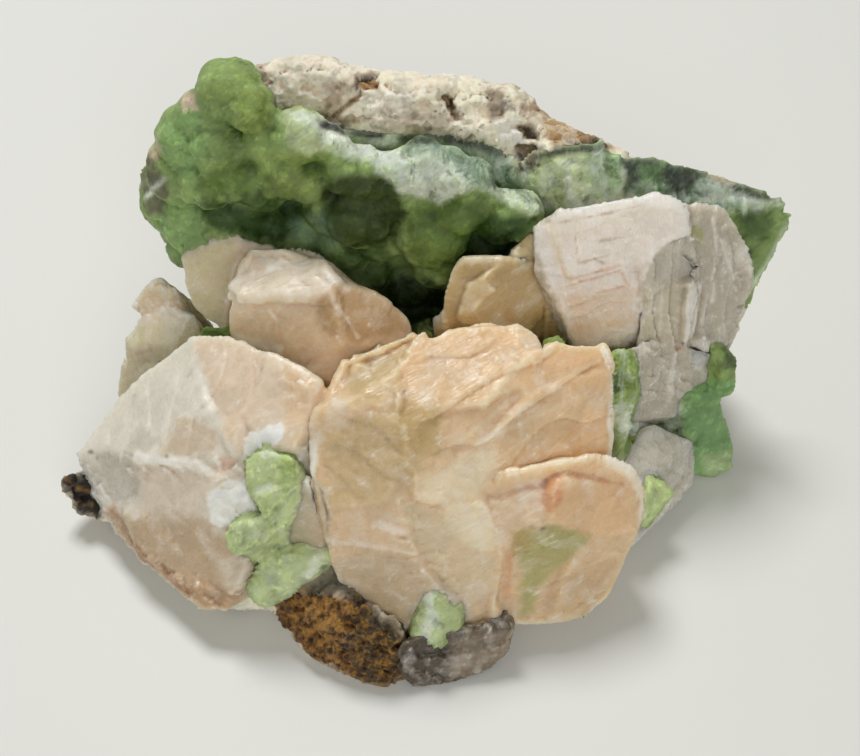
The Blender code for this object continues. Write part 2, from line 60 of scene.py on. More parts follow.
# %% Modules and units
import math

import bmesh
import bpy
import numpy as np
from mathutils import Matrix, Vector, noise
from mathutils.bvhtree import BVHTree

MM = 0.001
BODY = "root"

# %% [markdown]
# ## The camera
#
# A hand specimen is photographed from above and in front, so that the light falls into the
# hollow between wall and crystals. The camera comes first, because the colours further down
# are placed where they are seen through it.

# %% Camera at the photograph's angle
CAMERA_HEIGHT_ANGLE = math.radians(50)
CAMERA_DISTANCE = 252
CAMERA_TARGET = Vector((1.26, -1.67, 25.0))
LENS = 60
SENSOR = 36
PICTURE_WIDTH, PICTURE_HEIGHT = 860, 756

forward = Vector((0, math.cos(CAMERA_HEIGHT_ANGLE), -math.sin(CAMERA_HEIGHT_ANGLE)))
upward = Vector((0, math.sin(CAMERA_HEIGHT_ANGLE), math.cos(CAMERA_HEIGHT_ANGLE)))
eye = CAMERA_TARGET - CAMERA_DISTANCE * forward
camera_data = bpy.data.cameras.new("camera")
camera_data.lens = LENS
camera_data.sensor_width = SENSOR
camera_data.clip_start = 0.01
camera = bpy.data.objects.new("camera", camera_data)
camera.location = eye * MM
camera.rotation_euler = (math.pi / 2 - CAMERA_HEIGHT_ANGLE, 0, 0)
bpy.context.scene.collection.objects.link(camera)
bpy.context.scene.camera = camera
print("camera stands", round(CAMERA_DISTANCE), "mm from the middle of the specimen")

# %% [markdown]
# ## Working on a surface
#
# Nature's surfaces have no outline to draw, so each piece starts as an even net of points
# over the frame's solid. Plain moves of those points along their normals then cut facets,
# raise domes and wear edges round. The helpers here read and write such a net.


# %% Read and write a net of points, in millimetres
def points_of(obj):
    flat = np.empty(len(obj.data.vertices) * 3)
    obj.data.vertices.foreach_get("co", flat)
    return flat.reshape(-1, 3) / MM


def place_points(obj, points):
    obj.data.vertices.foreach_set("co", (points * MM).ravel())
    obj.data.update()


def normals_of(obj):
    flat = np.empty(len(obj.data.vertices) * 3)
    obj.data.vertex_normals.foreach_get("vector", flat)
    return flat.reshape(-1, 3)


def edges_of(obj):
    flat = np.empty(len(obj.data.edges) * 2, dtype=np.int64)
    obj.data.edges.foreach_get("vertices", flat)
    return flat.reshape(-1, 2)


# %% Even out values from point to point
def blurred(values, edges, rounds):
    """Each point's value becomes the mean of its neighbours', several times over."""
    count = np.bincount(edges.ravel(), minlength=len(values))
    flat = values.reshape(len(values), -1)
    for _ in range(rounds):
        total = np.empty_like(flat)
        for column in range(flat.shape[1]):
            ahead = np.bincount(edges[:, 0], flat[edges[:, 1], column], len(flat))
            behind = np.bincount(edges[:, 1], flat[edges[:, 0], column], len(flat))
            total[:, column] = ahead + behind
        flat = total / count[:, None]
    return flat.reshape(values.shape)


def unit(vectors):
    return vectors / np.maximum(np.linalg.norm(vectors, axis=1), 1e-9)[:, None]


def soft_normals(obj, rounds):
    return unit(blurred(normals_of(obj), edges_of(obj), rounds))


# %% An even net over one node of the frame
def new_object(name, bm):
    mesh = bpy.data.meshes.new(name)
    bm.to_mesh(mesh)
    bm.free()
    obj = bpy.data.objects.new(name, mesh)
    bpy.context.scene.collection.objects.link(obj)
    return obj


def node_shape(node):
    bm = bmesh.new()
    bm.from_mesh(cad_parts[node].data)
    bmesh.ops.remove_doubles(bm, verts=bm.verts, dist=0.001 * MM)
    return bm


def even_net(name, bm, spacing):
    obj = new_object(name, bm)
    modifier = obj.modifiers.new("net", "REMESH")
    modifier.mode = "VOXEL"
    modifier.voxel_size = spacing * MM
    graph = bpy.context.evaluated_depsgraph_get()
    mesh = bpy.data.meshes.new_from_object(obj.evaluated_get(graph))
    obj.modifiers.clear()
    obj.data = mesh
    obj.data.shade_smooth()
    print(name, "has", len(mesh.vertices), "points", spacing, "mm apart")
    return obj


def worn(obj, rounds, swell=0.0):
    """Wear the edges round, then let the whole surface out a little."""
    place_points(obj, blurred(points_of(obj), edges_of(obj), rounds))
    if swell:
        place_points(obj, points_of(obj) + swell * normals_of(obj))


# %% Close the open seam between two minerals that grew together
LOOK_FROM = 0.3  # mm below the surface, so that a touching neighbour isn't missed


def close_seams(obj, neighbours, reach, overlap):
    """Points that face a neighbour across a narrow gap move on to it."""
    bm = bmesh.new()
    for node in neighbours:
        bm.from_mesh(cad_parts[node].data)
    tree = BVHTree.FromBMesh(bm)
    bm.free()
    points = points_of(obj)
    normals = soft_normals(obj, 3)
    moves = np.zeros(len(points))
    for index in range(len(points)):
        start = Vector(points[index] - LOOK_FROM * normals[index]) * MM
        gap = tree.ray_cast(start, Vector(normals[index]), (reach + LOOK_FROM) * MM)[3]
        if gap is not None:
            moves[index] = gap / MM - LOOK_FROM + overlap
    moves = blurred(moves, edges_of(obj), 1)
    place_points(obj, points + normals * moves[:, None])
    print(obj.name, "closed its seams at", int((moves > 0).sum()), "points")


# %% [markdown]
# ## Patterns in space
#
# A crystal's faces, a crust's domes and a break's chips are all cells: every point of the
# net belongs to one seat nearby. A slow roll is the sum of a few waves that run in chance
# directions. All of them are worked out in millimetres, so they keep their real size.


# %% A slow roll from about -1 to 1
def rolling(points, width, seed):
    rng = np.random.default_rng(seed)
    total = np.zeros(len(points))
    for _ in range(9):
        wave = unit(rng.normal(0, 1, (1, 3)))[0] * 2 * math.pi / (width * rng.uniform(0.7, 1.5))
        total += np.sin(points @ wave + rng.uniform(0, 2 * math.pi))
    return total / 4.5


# %% Seats: points picked at least a set distance apart
def spread(points, gap, rng):
    taken = {}
    seats = []
    for index in rng.permutation(len(points))[:40000]:
        key = tuple((points[index] // gap).astype(int))
        near = (
            other
            for dx in (-1, 0, 1)
            for dy in (-1, 0, 1)
            for dz in (-1, 0, 1)
            for other in taken.get((key[0] + dx, key[1] + dy, key[2] + dz), ())
        )
        if all(np.sum((points[index] - points[other]) ** 2) > gap * gap for other in near):
            taken.setdefault(key, []).append(index)
            seats.append(index)
    return np.array(seats)


# %% Crystal faces: every point moves to the plane of the face that lies lowest over it
FACE_CHUNK = 4096


def faceted(points, normals, gap, tilt, dish, seed):
    """How far each point moves to reach its face, and how light that face is."""
    rng = np.random.default_rng(seed)
    seats = spread(points, gap, rng)
    planes = unit(normals[seats] + rng.normal(0, tilt, (len(seats), 3)))
    lightness = rng.uniform(-1, 1, len(seats))
    moves = np.empty(len(points))
    tone = np.empty(len(points))
    for start in range(0, len(points), FACE_CHUNK):
        part = slice(start, start + FACE_CHUNK)
        away = points[seats][None] - points[part][:, None]
        facing = normals[part] @ planes.T
        height = np.einsum("ijk,jk->ij", away, planes) / np.maximum(facing, 0.4)
        height = height + dish * np.einsum("ijk,ijk->ij", away, away)
        height[facing < 0.4] = 1e3
        face = height.argmin(axis=1)
        moves[part] = height.min(axis=1)
        tone[part] = lightness[face]
    moves = np.where(moves > 100, 0, moves)
    return moves - np.median(moves), tone


# %% Domes of unequal size that meet in sharp creases
def domed(points, gap, seed):
    """0 in the crease and 1 on top of a dome, with the dome's own size and lightness."""
    rng = np.random.default_rng(seed)
    seats = spread(points, gap, rng)
    size = rng.uniform(0.7, 1.3, len(seats))
    lightness = rng.uniform(-1, 1, len(seats))
    height = np.empty(len(points))
    owner = np.empty(len(points), int)
    for start in range(0, len(points), FACE_CHUNK):
        part = slice(start, start + FACE_CHUNK)
        cross = points[part] @ points[seats].T
        far = (points[part] ** 2).sum(1)[:, None] - 2 * cross + (points[seats] ** 2).sum(1)
        far = np.maximum(far, 0) / size**2
        nearest = np.partition(far, 1, axis=1)[:, :2]
        height[part] = np.sqrt(1 - nearest[:, 0] / np.maximum(nearest[:, 1], 1e-6))
        owner[part] = far.argmin(axis=1)
    return height, size[owner], lightness[owner]


# %% Broken grain: small chips, each at its own height and tilt
def chipped(points, where, width, seed):
    """Chips from about -1 to 1 where the mask is more than nothing, and 0 elsewhere."""
    heights = np.zeros(len(points))
    offset = Vector((seed * 1.7, seed * 2.3, seed * 3.1))
    for index in np.flatnonzero(where > 0.02):
        place = Vector(points[index] / width) + offset
        _, corners = noise.voronoi(place)
        lean = noise.cell_vector(corners[0] * 7.3)
        heights[index] = (place - corners[0]).dot(lean) + 0.6 * lean.x
    return heights * where


# %% [markdown]
# ## Where a colour or a break lies
#
# The specimen's colours belong to places: a rusty lump here, a milky face there. A patch is
# a named colour inside an outline that is drawn as the camera sees it, and a stroke is one
# along a line. Both land only on what faces the camera there and isn't hidden behind
# something, so they sit on the mineral and stay with it from any other side.


# %% Colours
def linear(hex_colour):
    """An sRGB hex colour as linear values."""
    parts = [int(hex_colour[i : i + 2], 16) / 255 for i in (1, 3, 5)]
    return [c / 12.92 if c <= 0.04045 else ((c + 0.055) / 1.055) ** 2.4 for c in parts]


# %% Outlines in the picture
def seen_at(points):
    """Where each point is seen in the picture, in pixels."""
    away = points - np.array(eye)
    scale = LENS / SENSOR * PICTURE_WIDTH / (away @ np.array(forward))
    across = PICTURE_WIDTH / 2 + away[:, 0] * scale
    down = PICTURE_HEIGHT / 2 - (away @ np.array(upward)) * scale
    return np.stack([across, down], axis=1)


def step(values):
    values = np.clip(values, 0, 1)
    return values * values * (3 - 2 * values)


def from_line(seen, first, second):
    """How far each place in the picture is from one straight line."""
    along = second - first
    share = np.clip((seen - first) @ along / max(along @ along, 1e-9), 0, 1)
    return np.linalg.norm(seen - first - share[:, None] * along, axis=1)


def depth_inside(seen, outline):
    """How far inside an outline each place is, in pixels, and less than nothing outside."""
    corners = np.array(outline, float)
    nearest = np.full(len(seen), 1e9)
    within = np.zeros(len(seen), bool)
    for first, second in zip(corners, np.roll(corners, -1, axis=0)):
        nearest = np.minimum(nearest, from_line(seen, first, second))
        if first[1] == second[1]:
            continue
        spans = (seen[:, 1] < first[1]) != (seen[:, 1] < second[1])
        cut = first[0] + (seen[:, 1] - first[1]) / (second[1] - first[1]) * (second[0] - first[0])
        within ^= spans & (seen[:, 0] < cut)
    return np.where(within, nearest, -nearest)


def inside(seen, ragged, outline, soft):
    """1 inside the outline and 0 outside it, over a soft and ragged edge."""
    return step(0.5 + 0.5 * (depth_inside(seen, outline) + ragged) / soft)


def beside(seen, ragged, path, width):
    """1 on the line and 0 beyond half its width."""
    corners = np.array(path, float)
    nearest = np.full(len(seen), 1e9)
    for first, second in zip(corners[:-1], corners[1:]):
        nearest = np.minimum(nearest, from_line(seen, first, second))
    return step(0.5 + 0.5 * (width / 2 - nearest + 0.4 * ragged) / (0.6 + 0.25 * width))


def across_face(right, up):
    """The direction in space that runs this way in the picture."""
    return Vector((right, 0, 0)) + up * upward


# %% A piece as the camera sees it
class View:
    """Where a piece's points are seen, whether they are, and how ragged an edge is there."""

    def __init__(self, obj, seed):
        points = points_of(obj)
        normals = soft_normals(obj, 3)
        sight = unit(np.array(eye) - points)
        self.seen = seen_at(points)
        self.ragged = 2.2 * rolling(points, 3.0, seed) + 1.6 * rolling(points, 1.2, seed + 1)
        self.facing = np.clip((normals * sight).sum(1) / 0.15, 0, 1)
        bm = bmesh.new()
        bm.from_mesh(obj.data)
        tree = BVHTree.FromBMesh(bm)
        bm.free()
        starts = (points + 0.8 * normals) * MM
        in_view = np.zeros(len(points))
        for index in np.flatnonzero(self.facing > 0):
            hit = tree.ray_cast(Vector(starts[index]), Vector(sight[index]))[0]
            in_view[index] = hit is None
        self.open = blurred(self.facing * in_view, edges_of(obj), 2)

    def cover(self, shape, soft):
        """A closed outline covers its inside, and a path after a width covers its line."""
        if isinstance(shape[0], (int, float)):
            return self.open * beside(self.seen, self.ragged, shape[1:], shape[0])
        return self.open * inside(self.seen, self.ragged, shape, soft)


# %% Keep a colour or a value with the points, for the materials to read
def keep_colour(obj, name, colours):
    layer = obj.data.attributes.new(name, "FLOAT_COLOR", "POINT")
    full = np.ones((len(colours), 4), np.float32)
    full[:, :3] = np.clip(colours, 0, 1)
    layer.data.foreach_set("color", full.ravel())


def keep_value(obj, name, values):
    layer = obj.data.attributes.new(name, "FLOAT", "POINT")
    layer.data.foreach_set("value", np.asarray(values, np.float32))


def hollow_of(obj, rounds, depth):
    """0.5 on a flat, towards 1 in a hollow and towards 0 on a ridge."""
    points = points_of(obj)
    sunk = blurred(points, edges_of(obj), rounds) - points
    return np.clip(0.5 + (sunk * normals_of(obj)).sum(1) / depth, 0, 1)


def cover_of_all(view, shapes):
    """The most that any of the shapes covers each point."""
    cover = np.zeros(len(view.seen))
    for strength, soft, shape in shapes:
        cover = np.maximum(cover, strength * view.cover(shape, soft))
    return cover


def painted(view, tint, patches, colours):
    """Lay the patches over a colour, one after the other."""
    for colour, strength, soft, shape in patches:
        cover = strength * view.cover(shape, soft)[:, None]
        tint = tint * (1 - cover) + np.array(linear(colours[colour])) * cover
    return tint


# %% The last steps for every piece
def finish_piece(obj, nodes, material):
    low = np.array(CAD_LOW) / MM
    high = np.array(CAD_HIGH) / MM
    place_points(obj, np.clip(points_of(obj), low, high))
    obj.data.materials.clear()
    obj.data.materials.append(material)
    obj.data.shade_smooth()
    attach(obj, BODY)
    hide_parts(*nodes)
    print(obj.name, "is done with", len(obj.data.polygons), "faces")


# %% [markdown]
# ## Materials
#
# Each material is built from nodes on the piece's own coordinates. The painted colour comes
# from the piece and the nodes add what the mineral shows close up. A grain that is too fine
# for the net could be a bump, but a bump rounds it. So a grain is a cell whose normal leans
# its own way, and it glints alone as a broken crystal does.


# %% One node at a time
def add_node(tree, kind, values=None, links=None, **settings):
    node = tree.nodes.new(kind)
    for name, value in settings.items():
        setattr(node, name, value)
    for socket, value in (values or {}).items():
        node.inputs[socket].default_value = value
    for socket, source in (links or {}).items():
        tree.links.new(source, node.inputs[socket])
    return node


def per_mm(width):
    """The texture scale at which one cell or wave is this many millimetres wide."""
    return 1 / (width * MM)


def start_material(name):
    material = bpy.data.materials.new(name)
    material.use_nodes = True
    tree = material.node_tree
    shader = tree.nodes["Principled BSDF"]
    coords = add_node(tree, "ShaderNodeTexCoord").outputs["Object"]
    return material, tree, shader, coords


def kept(tree, name, output="Fac"):
    return add_node(tree, "ShaderNodeAttribute", attribute_name=name).outputs[output]


def mix_colour(tree, share, first, second, blend="MIX"):
    node = add_node(tree, "ShaderNodeMix", data_type="RGBA", blend_type=blend)
    for socket, source in ((0, share), (6, first), (7, second)):
        if isinstance(source, bpy.types.NodeSocket):
            tree.links.new(source, node.inputs[socket])
        else:
            node.inputs[socket].default_value = source
    return node.outputs[2]


def ranged(tree, value, low, high, least=0.0, most=1.0):
    values = {"From Min": low, "From Max": high, "To Min": least, "To Max": most}
    return add_node(tree, "ShaderNodeMapRange", values, {"Value": value}).outputs[0]


def times(tree, first, second):
    return add_node(tree, "ShaderNodeMath", {}, {0: first, 1: second}, operation="MULTIPLY").outputs[0]


def drawn_out(tree, coords, along, length, width):
    """A noise stretched along one direction, as growth lines are."""
    side = along.cross(forward).normalized()
    parts = []
    for way, size in ((along.normalized(), length), (side, width), (along.cross(side).normalized(), width)):
        parts.append(add_node(
            tree, "ShaderNodeVectorMath", {1: way / (size * MM)}, {0: coords}, operation="DOT_PRODUCT"
        ).outputs["Value"])
    place = add_node(tree, "ShaderNodeCombineXYZ", {}, dict(enumerate(parts))).outputs[0]
    return add_node(
        tree, "ShaderNodeTexNoise", {"Scale": 1.0, "Detail": 5, "Roughness": 0.6}, {"Vector": place}
    ).outputs[0]


def tilted(tree, coords, width, amount, normal=None):
    """Cells this many millimetres wide that each lean their own way, as grains do."""
    cells = add_node(tree, "ShaderNodeTexVoronoi", {"Scale": per_mm(width)}, {"Vector": coords})
    lean = add_node(
        tree, "ShaderNodeVectorMath", {1: (-0.5, -0.5, -0.5)}, {0: cells.outputs["Color"]}, operation="ADD"
    ).outputs[0]
    scaled = add_node(tree, "ShaderNodeVectorMath", {}, {0: lean}, operation="SCALE")
    if isinstance(amount, bpy.types.NodeSocket):
        tree.links.new(amount, scaled.inputs["Scale"])
    else:
        scaled.inputs["Scale"].default_value = amount
    start = normal or add_node(tree, "ShaderNodeNewGeometry").outputs["Normal"]
    turned = add_node(
        tree, "ShaderNodeVectorMath", {}, {0: start, 1: scaled.outputs[0]}, operation="ADD"
    ).outputs[0]
    return add_node(tree, "ShaderNodeVectorMath", {}, {0: turned}, operation="NORMALIZE").outputs[0]


# %% Calcite: grown crystal with a naturally etched, satin face
def calcite_material(name, along, traces, roughness, clear, radius, veil):
    """Along is the way of its growth lines, and radius how far light runs inside, in mm."""
    # Ground water etched the grown faces, so they have a soft gloss, and light that enters
    # comes back pale from the veils inside.
    material, tree, shader, coords = start_material(name)
    tint = kept(tree, "tint", "Color")
    hollow = kept(tree, "hollow")
    warp = add_node(tree, "ShaderNodeTexNoise", {"Scale": per_mm(9), "Detail": 3}, {"Vector": coords})
    bent = add_node(
        tree, "ShaderNodeVectorMath", {"Scale": 3.5 * MM}, {0: warp.outputs["Color"]}, operation="SCALE"
    )
    place = add_node(
        tree, "ShaderNodeVectorMath", {}, {0: coords, 1: bent.outputs[0]}, operation="ADD"
    ).outputs[0]
    # Flat clouds inside the crystal, each a little lighter or darker than the next.
    cells = add_node(tree, "ShaderNodeTexVoronoi", {"Scale": per_mm(5)}, {"Vector": place})
    cell = add_node(tree, "ShaderNodeSeparateColor", {}, {"Color": cells.outputs["Color"]})
    level = ranged(tree, cell.outputs[0], 0, 1, 0.95, 1.04)
    toned = add_node(
        tree, "ShaderNodeVectorMath", {}, {0: tint, "Scale": level}, operation="SCALE"
    ).outputs[0]
    haze = add_node(
        tree, "ShaderNodeTexNoise", {"Scale": per_mm(4), "Detail": 7, "Distortion": 0.8}, {"Vector": place}
    ).outputs[0]
    hazed = mix_colour(tree, ranged(tree, haze, 0.5, 0.72, 0, veil), toned, (*linear("#EFEAE2"), 1))
    # Growth lines run the same way through the whole crystal.
    streak = drawn_out(tree, coords, along, 14, 1.8)
    grown = add_node(
        tree, "ShaderNodeVectorMath", {}, {0: hazed, "Scale": ranged(tree, streak, 0.3, 0.7, 0.95, 1.05)},
        operation="SCALE",
    ).outputs[0]
    # Cleavage traces: hair-thin pale lines in bundles, all the same way.
    trace = drawn_out(tree, coords, along, 9, 0.5)
    strength = ranged(tree, haze, 0.48, 0.62, 0, traces)
    lined = mix_colour(
        tree, times(tree, ranged(tree, trace, 0.56, 0.64), strength), grown, (*linear("#F6F1E6"), 1)
    )
    # Edges get a painted highlight, and the creases get painted shade in a warm brown.
    painted_edge_highlight = mix_colour(tree, ranged(tree, hollow, 0.3, 0.1, 0, 0.14), lined, (*linear("#F3EFE8"), 1))
    painted_crease_shade = mix_colour(
        tree, ranged(tree, hollow, 0.62, 1.0, 0, 0.4), painted_edge_highlight, (*linear("#B98A62"), 1), "MULTIPLY"
    )
    # Tiny cleavage flecks are painted white as glints, a painted highlight. Real ones are below
    # half a millimetre, and these are drawn at about one so that they show.
    glint_cells = add_node(tree, "ShaderNodeTexVoronoi", {"Scale": per_mm(1.3)}, {"Vector": coords})
    chance = add_node(tree, "ShaderNodeSeparateColor", {}, {"Color": glint_cells.outputs["Color"]})
    few = ranged(tree, chance.outputs[0], 0.93, 0.95)
    small = ranged(tree, glint_cells.outputs["Distance"], 0.34, 0.2)
    painted_glint = times(tree, few, small)
    coloured = mix_colour(tree, times(tree, painted_glint, strength), painted_crease_shade, (*linear("#FFFFFF"), 1))
    tree.links.new(coloured, shader.inputs["Base Color"])
    grain = add_node(
        tree, "ShaderNodeTexNoise", {"Scale": per_mm(1.6), "Detail": 6, "Roughness": 0.6}, {"Vector": coords}
    ).outputs[0]
    satin = ranged(tree, grain, 0.35, 0.65, roughness - 0.1, roughness + 0.2)
    tree.links.new(satin, shader.inputs["Roughness"])
    bump = add_node(
        tree, "ShaderNodeBump", {"Strength": 0.4, "Distance": 0.2 * MM},
        {"Height": grain, "Normal": tilted(tree, place, 2.2, 0.10, tilted(tree, place, 6, 0.16))},
    )
    lined_bump = add_node(
        tree, "ShaderNodeBump", {"Strength": 0.3 + 0.5 * traces, "Distance": 0.35 * MM},
        {"Height": trace, "Normal": bump.outputs[0]},
    )
    tree.links.new(lined_bump.outputs[0], shader.inputs["Normal"])
    shader.inputs["IOR"].default_value = 1.6
    shader.inputs["Subsurface Weight"].default_value = 1.0
    shader.inputs["Subsurface Radius"].default_value = (1.0, 0.93, 0.8)
    shader.inputs["Subsurface Scale"].default_value = radius * MM
    shader.inputs["Transmission Weight"].default_value = clear
    return material


# %% Prehnite: waxy translucent lumps with a finely frosted skin
def prehnite_material():
    # The ends of the fibres are too small to see one by one, so the skin looks waxy, and light
    # goes a millimetre or two deep and comes back greener.
    material, tree, shader, coords = start_material("prehnite_waxy")
    tint = kept(tree, "tint", "Color")
    hollow = kept(tree, "hollow")
    broken = kept(tree, "broken")
    # Painted shade in the creases between the lumps and a painted highlight on their tops.
    painted_shade = mix_colour(tree, ranged(tree, hollow, 0.52, 0.9), tint, (*linear("#6E8A34"), 1), "MULTIPLY")
    painted_top_highlight = mix_colour(tree, ranged(tree, hollow, 0.45, 0.1, 0, 0.15), painted_shade, (*linear("#B9C98C"), 1))
    # Clouds of greyer and yellower green within the lumps.
    cloud = add_node(
        tree, "ShaderNodeTexNoise", {"Scale": per_mm(4), "Detail": 5, "Roughness": 0.6}, {"Vector": coords}
    ).outputs[0]
    level = ranged(tree, cloud, 0.3, 0.7, 0.86, 1.14)
    clouded = add_node(
        tree, "ShaderNodeVectorMath", {}, {0: painted_top_highlight, "Scale": level}, operation="SCALE"
    ).outputs[0]
    # A sugary skin of grains half a millimetre wide, some of them white. They are drawn almost
    # twice as coarse, so that they show.
    sugar = add_node(tree, "ShaderNodeTexVoronoi", {"Scale": per_mm(0.9)}, {"Vector": coords})
    grain = add_node(tree, "ShaderNodeSeparateColor", {}, {"Color": sugar.outputs["Color"]})
    frost = add_node(
        tree, "ShaderNodeTexNoise", {"Scale": per_mm(2.2), "Detail": 8, "Roughness": 0.7}, {"Vector": coords}
    ).outputs[0]
    white = times(tree, ranged(tree, grain.outputs[0], 0.6, 0.95), ranged(tree, frost, 0.4, 0.6))
    frosted = add_node(
        tree, "ShaderNodeVectorMath", {}, {0: clouded, "Scale": ranged(tree, white, 0, 1, 0.96, 1.35)},
        operation="SCALE",
    ).outputs[0]
    # Where the crust is broken across, its fibres show as white streaks.
    stretch = add_node(
        tree, "ShaderNodeMapping", {"Scale": (1.5, 0.8, 0.8), "Rotation": (0.5, 0.6, 0.4)}, {"Vector": coords}
    ).outputs[0]
    fibre = add_node(
        tree, "ShaderNodeTexNoise", {"Scale": per_mm(4.5), "Detail": 9, "Roughness": 0.72, "Distortion": 0.8},
        {"Vector": stretch},
    ).outputs[0]
    streak = times(tree, ranged(tree, fibre, 0.47, 0.6, 0, 0.8), broken)
    dark = times(tree, ranged(tree, fibre, 0.45, 0.36, 0, 0.6), broken)
    shaded = mix_colour(tree, dark, frosted, (*linear("#5C6F5E"), 1), "MULTIPLY")
    coloured = mix_colour(tree, streak, shaded, (*linear("#D9E2D8"), 1))
    tree.links.new(coloured, shader.inputs["Base Color"])
    # Every grain leans its own way, and more so on the broken edge.
    lean = ranged(tree, broken, 0, 1, 0.25, 1.0)
    bump = add_node(
        tree, "ShaderNodeBump", {"Strength": 0.7, "Distance": 0.7 * MM},
        {"Height": frost, "Normal": tilted(tree, coords, 0.7, 0.3, tilted(tree, coords, 1.7, lean))},
    )
    tree.links.new(bump.outputs[0], shader.inputs["Normal"])
    tree.links.new(ranged(tree, frost, 0.3, 0.7, 0.22, 0.5), shader.inputs["Roughness"])
    shader.inputs["IOR"].default_value = 1.63
    shader.inputs["Specular IOR Level"].default_value = 0.22
    shader.inputs["Subsurface Weight"].default_value = 0.9
    shader.inputs["Subsurface Radius"].default_value = (0.75, 1.0, 0.3)
    shader.inputs["Subsurface Scale"].default_value = 1.2 * MM
    return material


# %% Host rock: broken, granular, with iron stains
def rock_material():
    # Quartz and feldspar grains broke at every angle, so the break is rough with small glints.
    material, tree, shader, coords = start_material("host_rock_broken")
    tint = kept(tree, "tint", "Color")
    hollow = kept(tree, "hollow")
    rust = kept(tree, "rust")
    ore = kept(tree, "ore")
    # Grains two millimetres wide, from clear grey to cream and pink.
    cells = add_node(tree, "ShaderNodeTexVoronoi", {"Scale": per_mm(1.8)}, {"Vector": coords})
    cell = add_node(tree, "ShaderNodeSeparateColor", {}, {"Color": cells.outputs["Color"]})
    pale = mix_colour(tree, ranged(tree, cell.outputs[0], 0.5, 0.8, 0, 0.45), tint, (*linear("#FFF6E2"), 1))
    stony = mix_colour(tree, rust, pale, tint)
    grain = add_node(
        tree, "ShaderNodeTexNoise", {"Scale": per_mm(1.3), "Detail": 8, "Roughness": 0.75}, {"Vector": coords}
    ).outputs[0]
    level = ranged(tree, grain, 0.3, 0.7, 0.88, 1.14)
    toned = add_node(
        tree, "ShaderNodeVectorMath", {}, {0: stony, "Scale": level}, operation="SCALE"
    ).outputs[0]
    # Iron stains: ochre on the ridges, dark brown in the holes.
    ochre = mix_colour(
        tree, times(tree, ore, ranged(tree, grain, 0.5, 0.62, 0, 0.7)), toned, (*linear("#C4923C"), 1)
    )
    holes = times(tree, ore, ranged(tree, grain, 0.49, 0.41, 0, 0.9))
    pitted = mix_colour(tree, holes, ochre, (*linear("#24160A"), 1))
    # Painted shade: the hollows are darkened.
    painted_shade = mix_colour(tree, ranged(tree, hollow, 0.52, 0.95), pitted, (*linear("#C9B28E"), 1), "MULTIPLY")
    specks = add_node(
        tree, "ShaderNodeTexNoise", {"Scale": per_mm(1.9), "Detail": 5, "Roughness": 0.6}, {"Vector": coords}
    ).outputs[0]
    coloured = mix_colour(tree, ranged(tree, specks, 0.66, 0.7, 0, 0.75), painted_shade, (*linear("#5E4425"), 1))
    tree.links.new(coloured, shader.inputs["Base Color"])
    bump = add_node(
        tree, "ShaderNodeBump", {"Strength": 0.8, "Distance": 0.5 * MM},
        {"Height": grain, "Normal": tilted(tree, coords, 0.8, 0.6, tilted(tree, coords, 1.8, 1.0))},
    )
    tree.links.new(bump.outputs[0], shader.inputs["Normal"])
    tree.links.new(ranged(tree, grain, 0.3, 0.7, 0.35, 0.75), shader.inputs["Roughness"])
    shader.inputs["Subsurface Weight"].default_value = 0.5
    shader.inputs["Subsurface Radius"].default_value = (1.0, 0.8, 0.6)
    shader.inputs["Subsurface Scale"].default_value = 1.0 * MM
    return material


calcite_satin = calcite_material("calcite_satin", across_face(-0.86, -0.5), 0.45, 0.26, 0.0, 4.0, 0.35)
calcite_bladed = calcite_material("calcite_bladed", across_face(0.1, -1.0), 0.9, 0.24, 0.0, 4.0, 0.45)
calcite_clear = calcite_material("calcite_clear", across_face(0.5, 0.8), 0.5, 0.18, 0.12, 6.0, 0.45)
prehnite_waxy = prehnite_material()
rock_broken = rock_material()

# %% [markdown]
# ## The calcites
#
# Calcite breaks and grows in flat faces that meet at crisp edges. On the real crystals the
# faces are satin, stepped where growth halted, and chipped along the edges, which are also
# given a painted highlight. Each piece gets broad faces all over first. Then the faces that
# the eye knows are drawn as outlines, and the points inside each are brought onto one
# plane.


# %% Flat faces where an outline says so
FACE_REACH = 12
FACE_EDGE = 2.5


def flattened(obj, view, faces, limit=1.3):
    """Each face has a lift in mm, a lean to the right, a lean upwards and its outline."""
    points = points_of(obj)
    normals = soft_normals(obj, 4)
    depths = np.array([depth_inside(view.seen, outline) for *_, outline in faces])
    deepest = depths.max(axis=0)
    shares = np.clip(1 + (depths - deepest) / FACE_EDGE, 0, 1)
    shares = shares / shares.sum(axis=0)
    moves = np.zeros(len(points))
    for (lift, lean_right, lean_up, outline), depth, share in zip(faces, depths, shares):
        chosen = (depth > 1) & (view.open > 0.5)
        if chosen.sum() < 30:
            print(obj.name, "has no face at", outline[0])
            continue
        middle = points[chosen].mean(axis=0)
        axes = np.linalg.svd((points[chosen] - middle)[::5], full_matrices=False)[2]
        plane = axes[2] * np.sign(axes[2] @ normals[chosen].mean(axis=0))
        plane = plane + lean_right * np.array((1, 0, 0)) + lean_up * np.array(upward)
        plane = plane / np.linalg.norm(plane)
        height = (middle - points) @ plane / np.maximum(normals @ plane, 0.5) + lift
        moves += share * np.clip(height, -limit, limit)
    reached = view.open * step((deepest + FACE_REACH) / FACE_REACH)
    place_points(obj, points + normals * (moves * reached)[:, None])


# %% Growth steps: a slow rise and a sudden drop, over and over
def stepped(points, direction, width, seed):
    place = points @ np.array(direction) / width + 0.35 * rolling(points, 14, seed)
    return place % 1 - 0.5


# %% The broad faces of a calcite piece
def calcite_net(name, node, spacing, wear, swell, seed, gap=8.0, tilt=0.13):
    obj = even_net(name, node_shape(node), spacing)
    worn(obj, wear, swell)
    points = points_of(obj)
    normals = soft_normals(obj, wear)
    moves, tone = faceted(points, normals, gap, tilt, 0.02, seed)
    moves = np.clip(moves, -0.6, 0.10)
    place_points(obj, points + normals * moves[:, None])
    return obj, tone


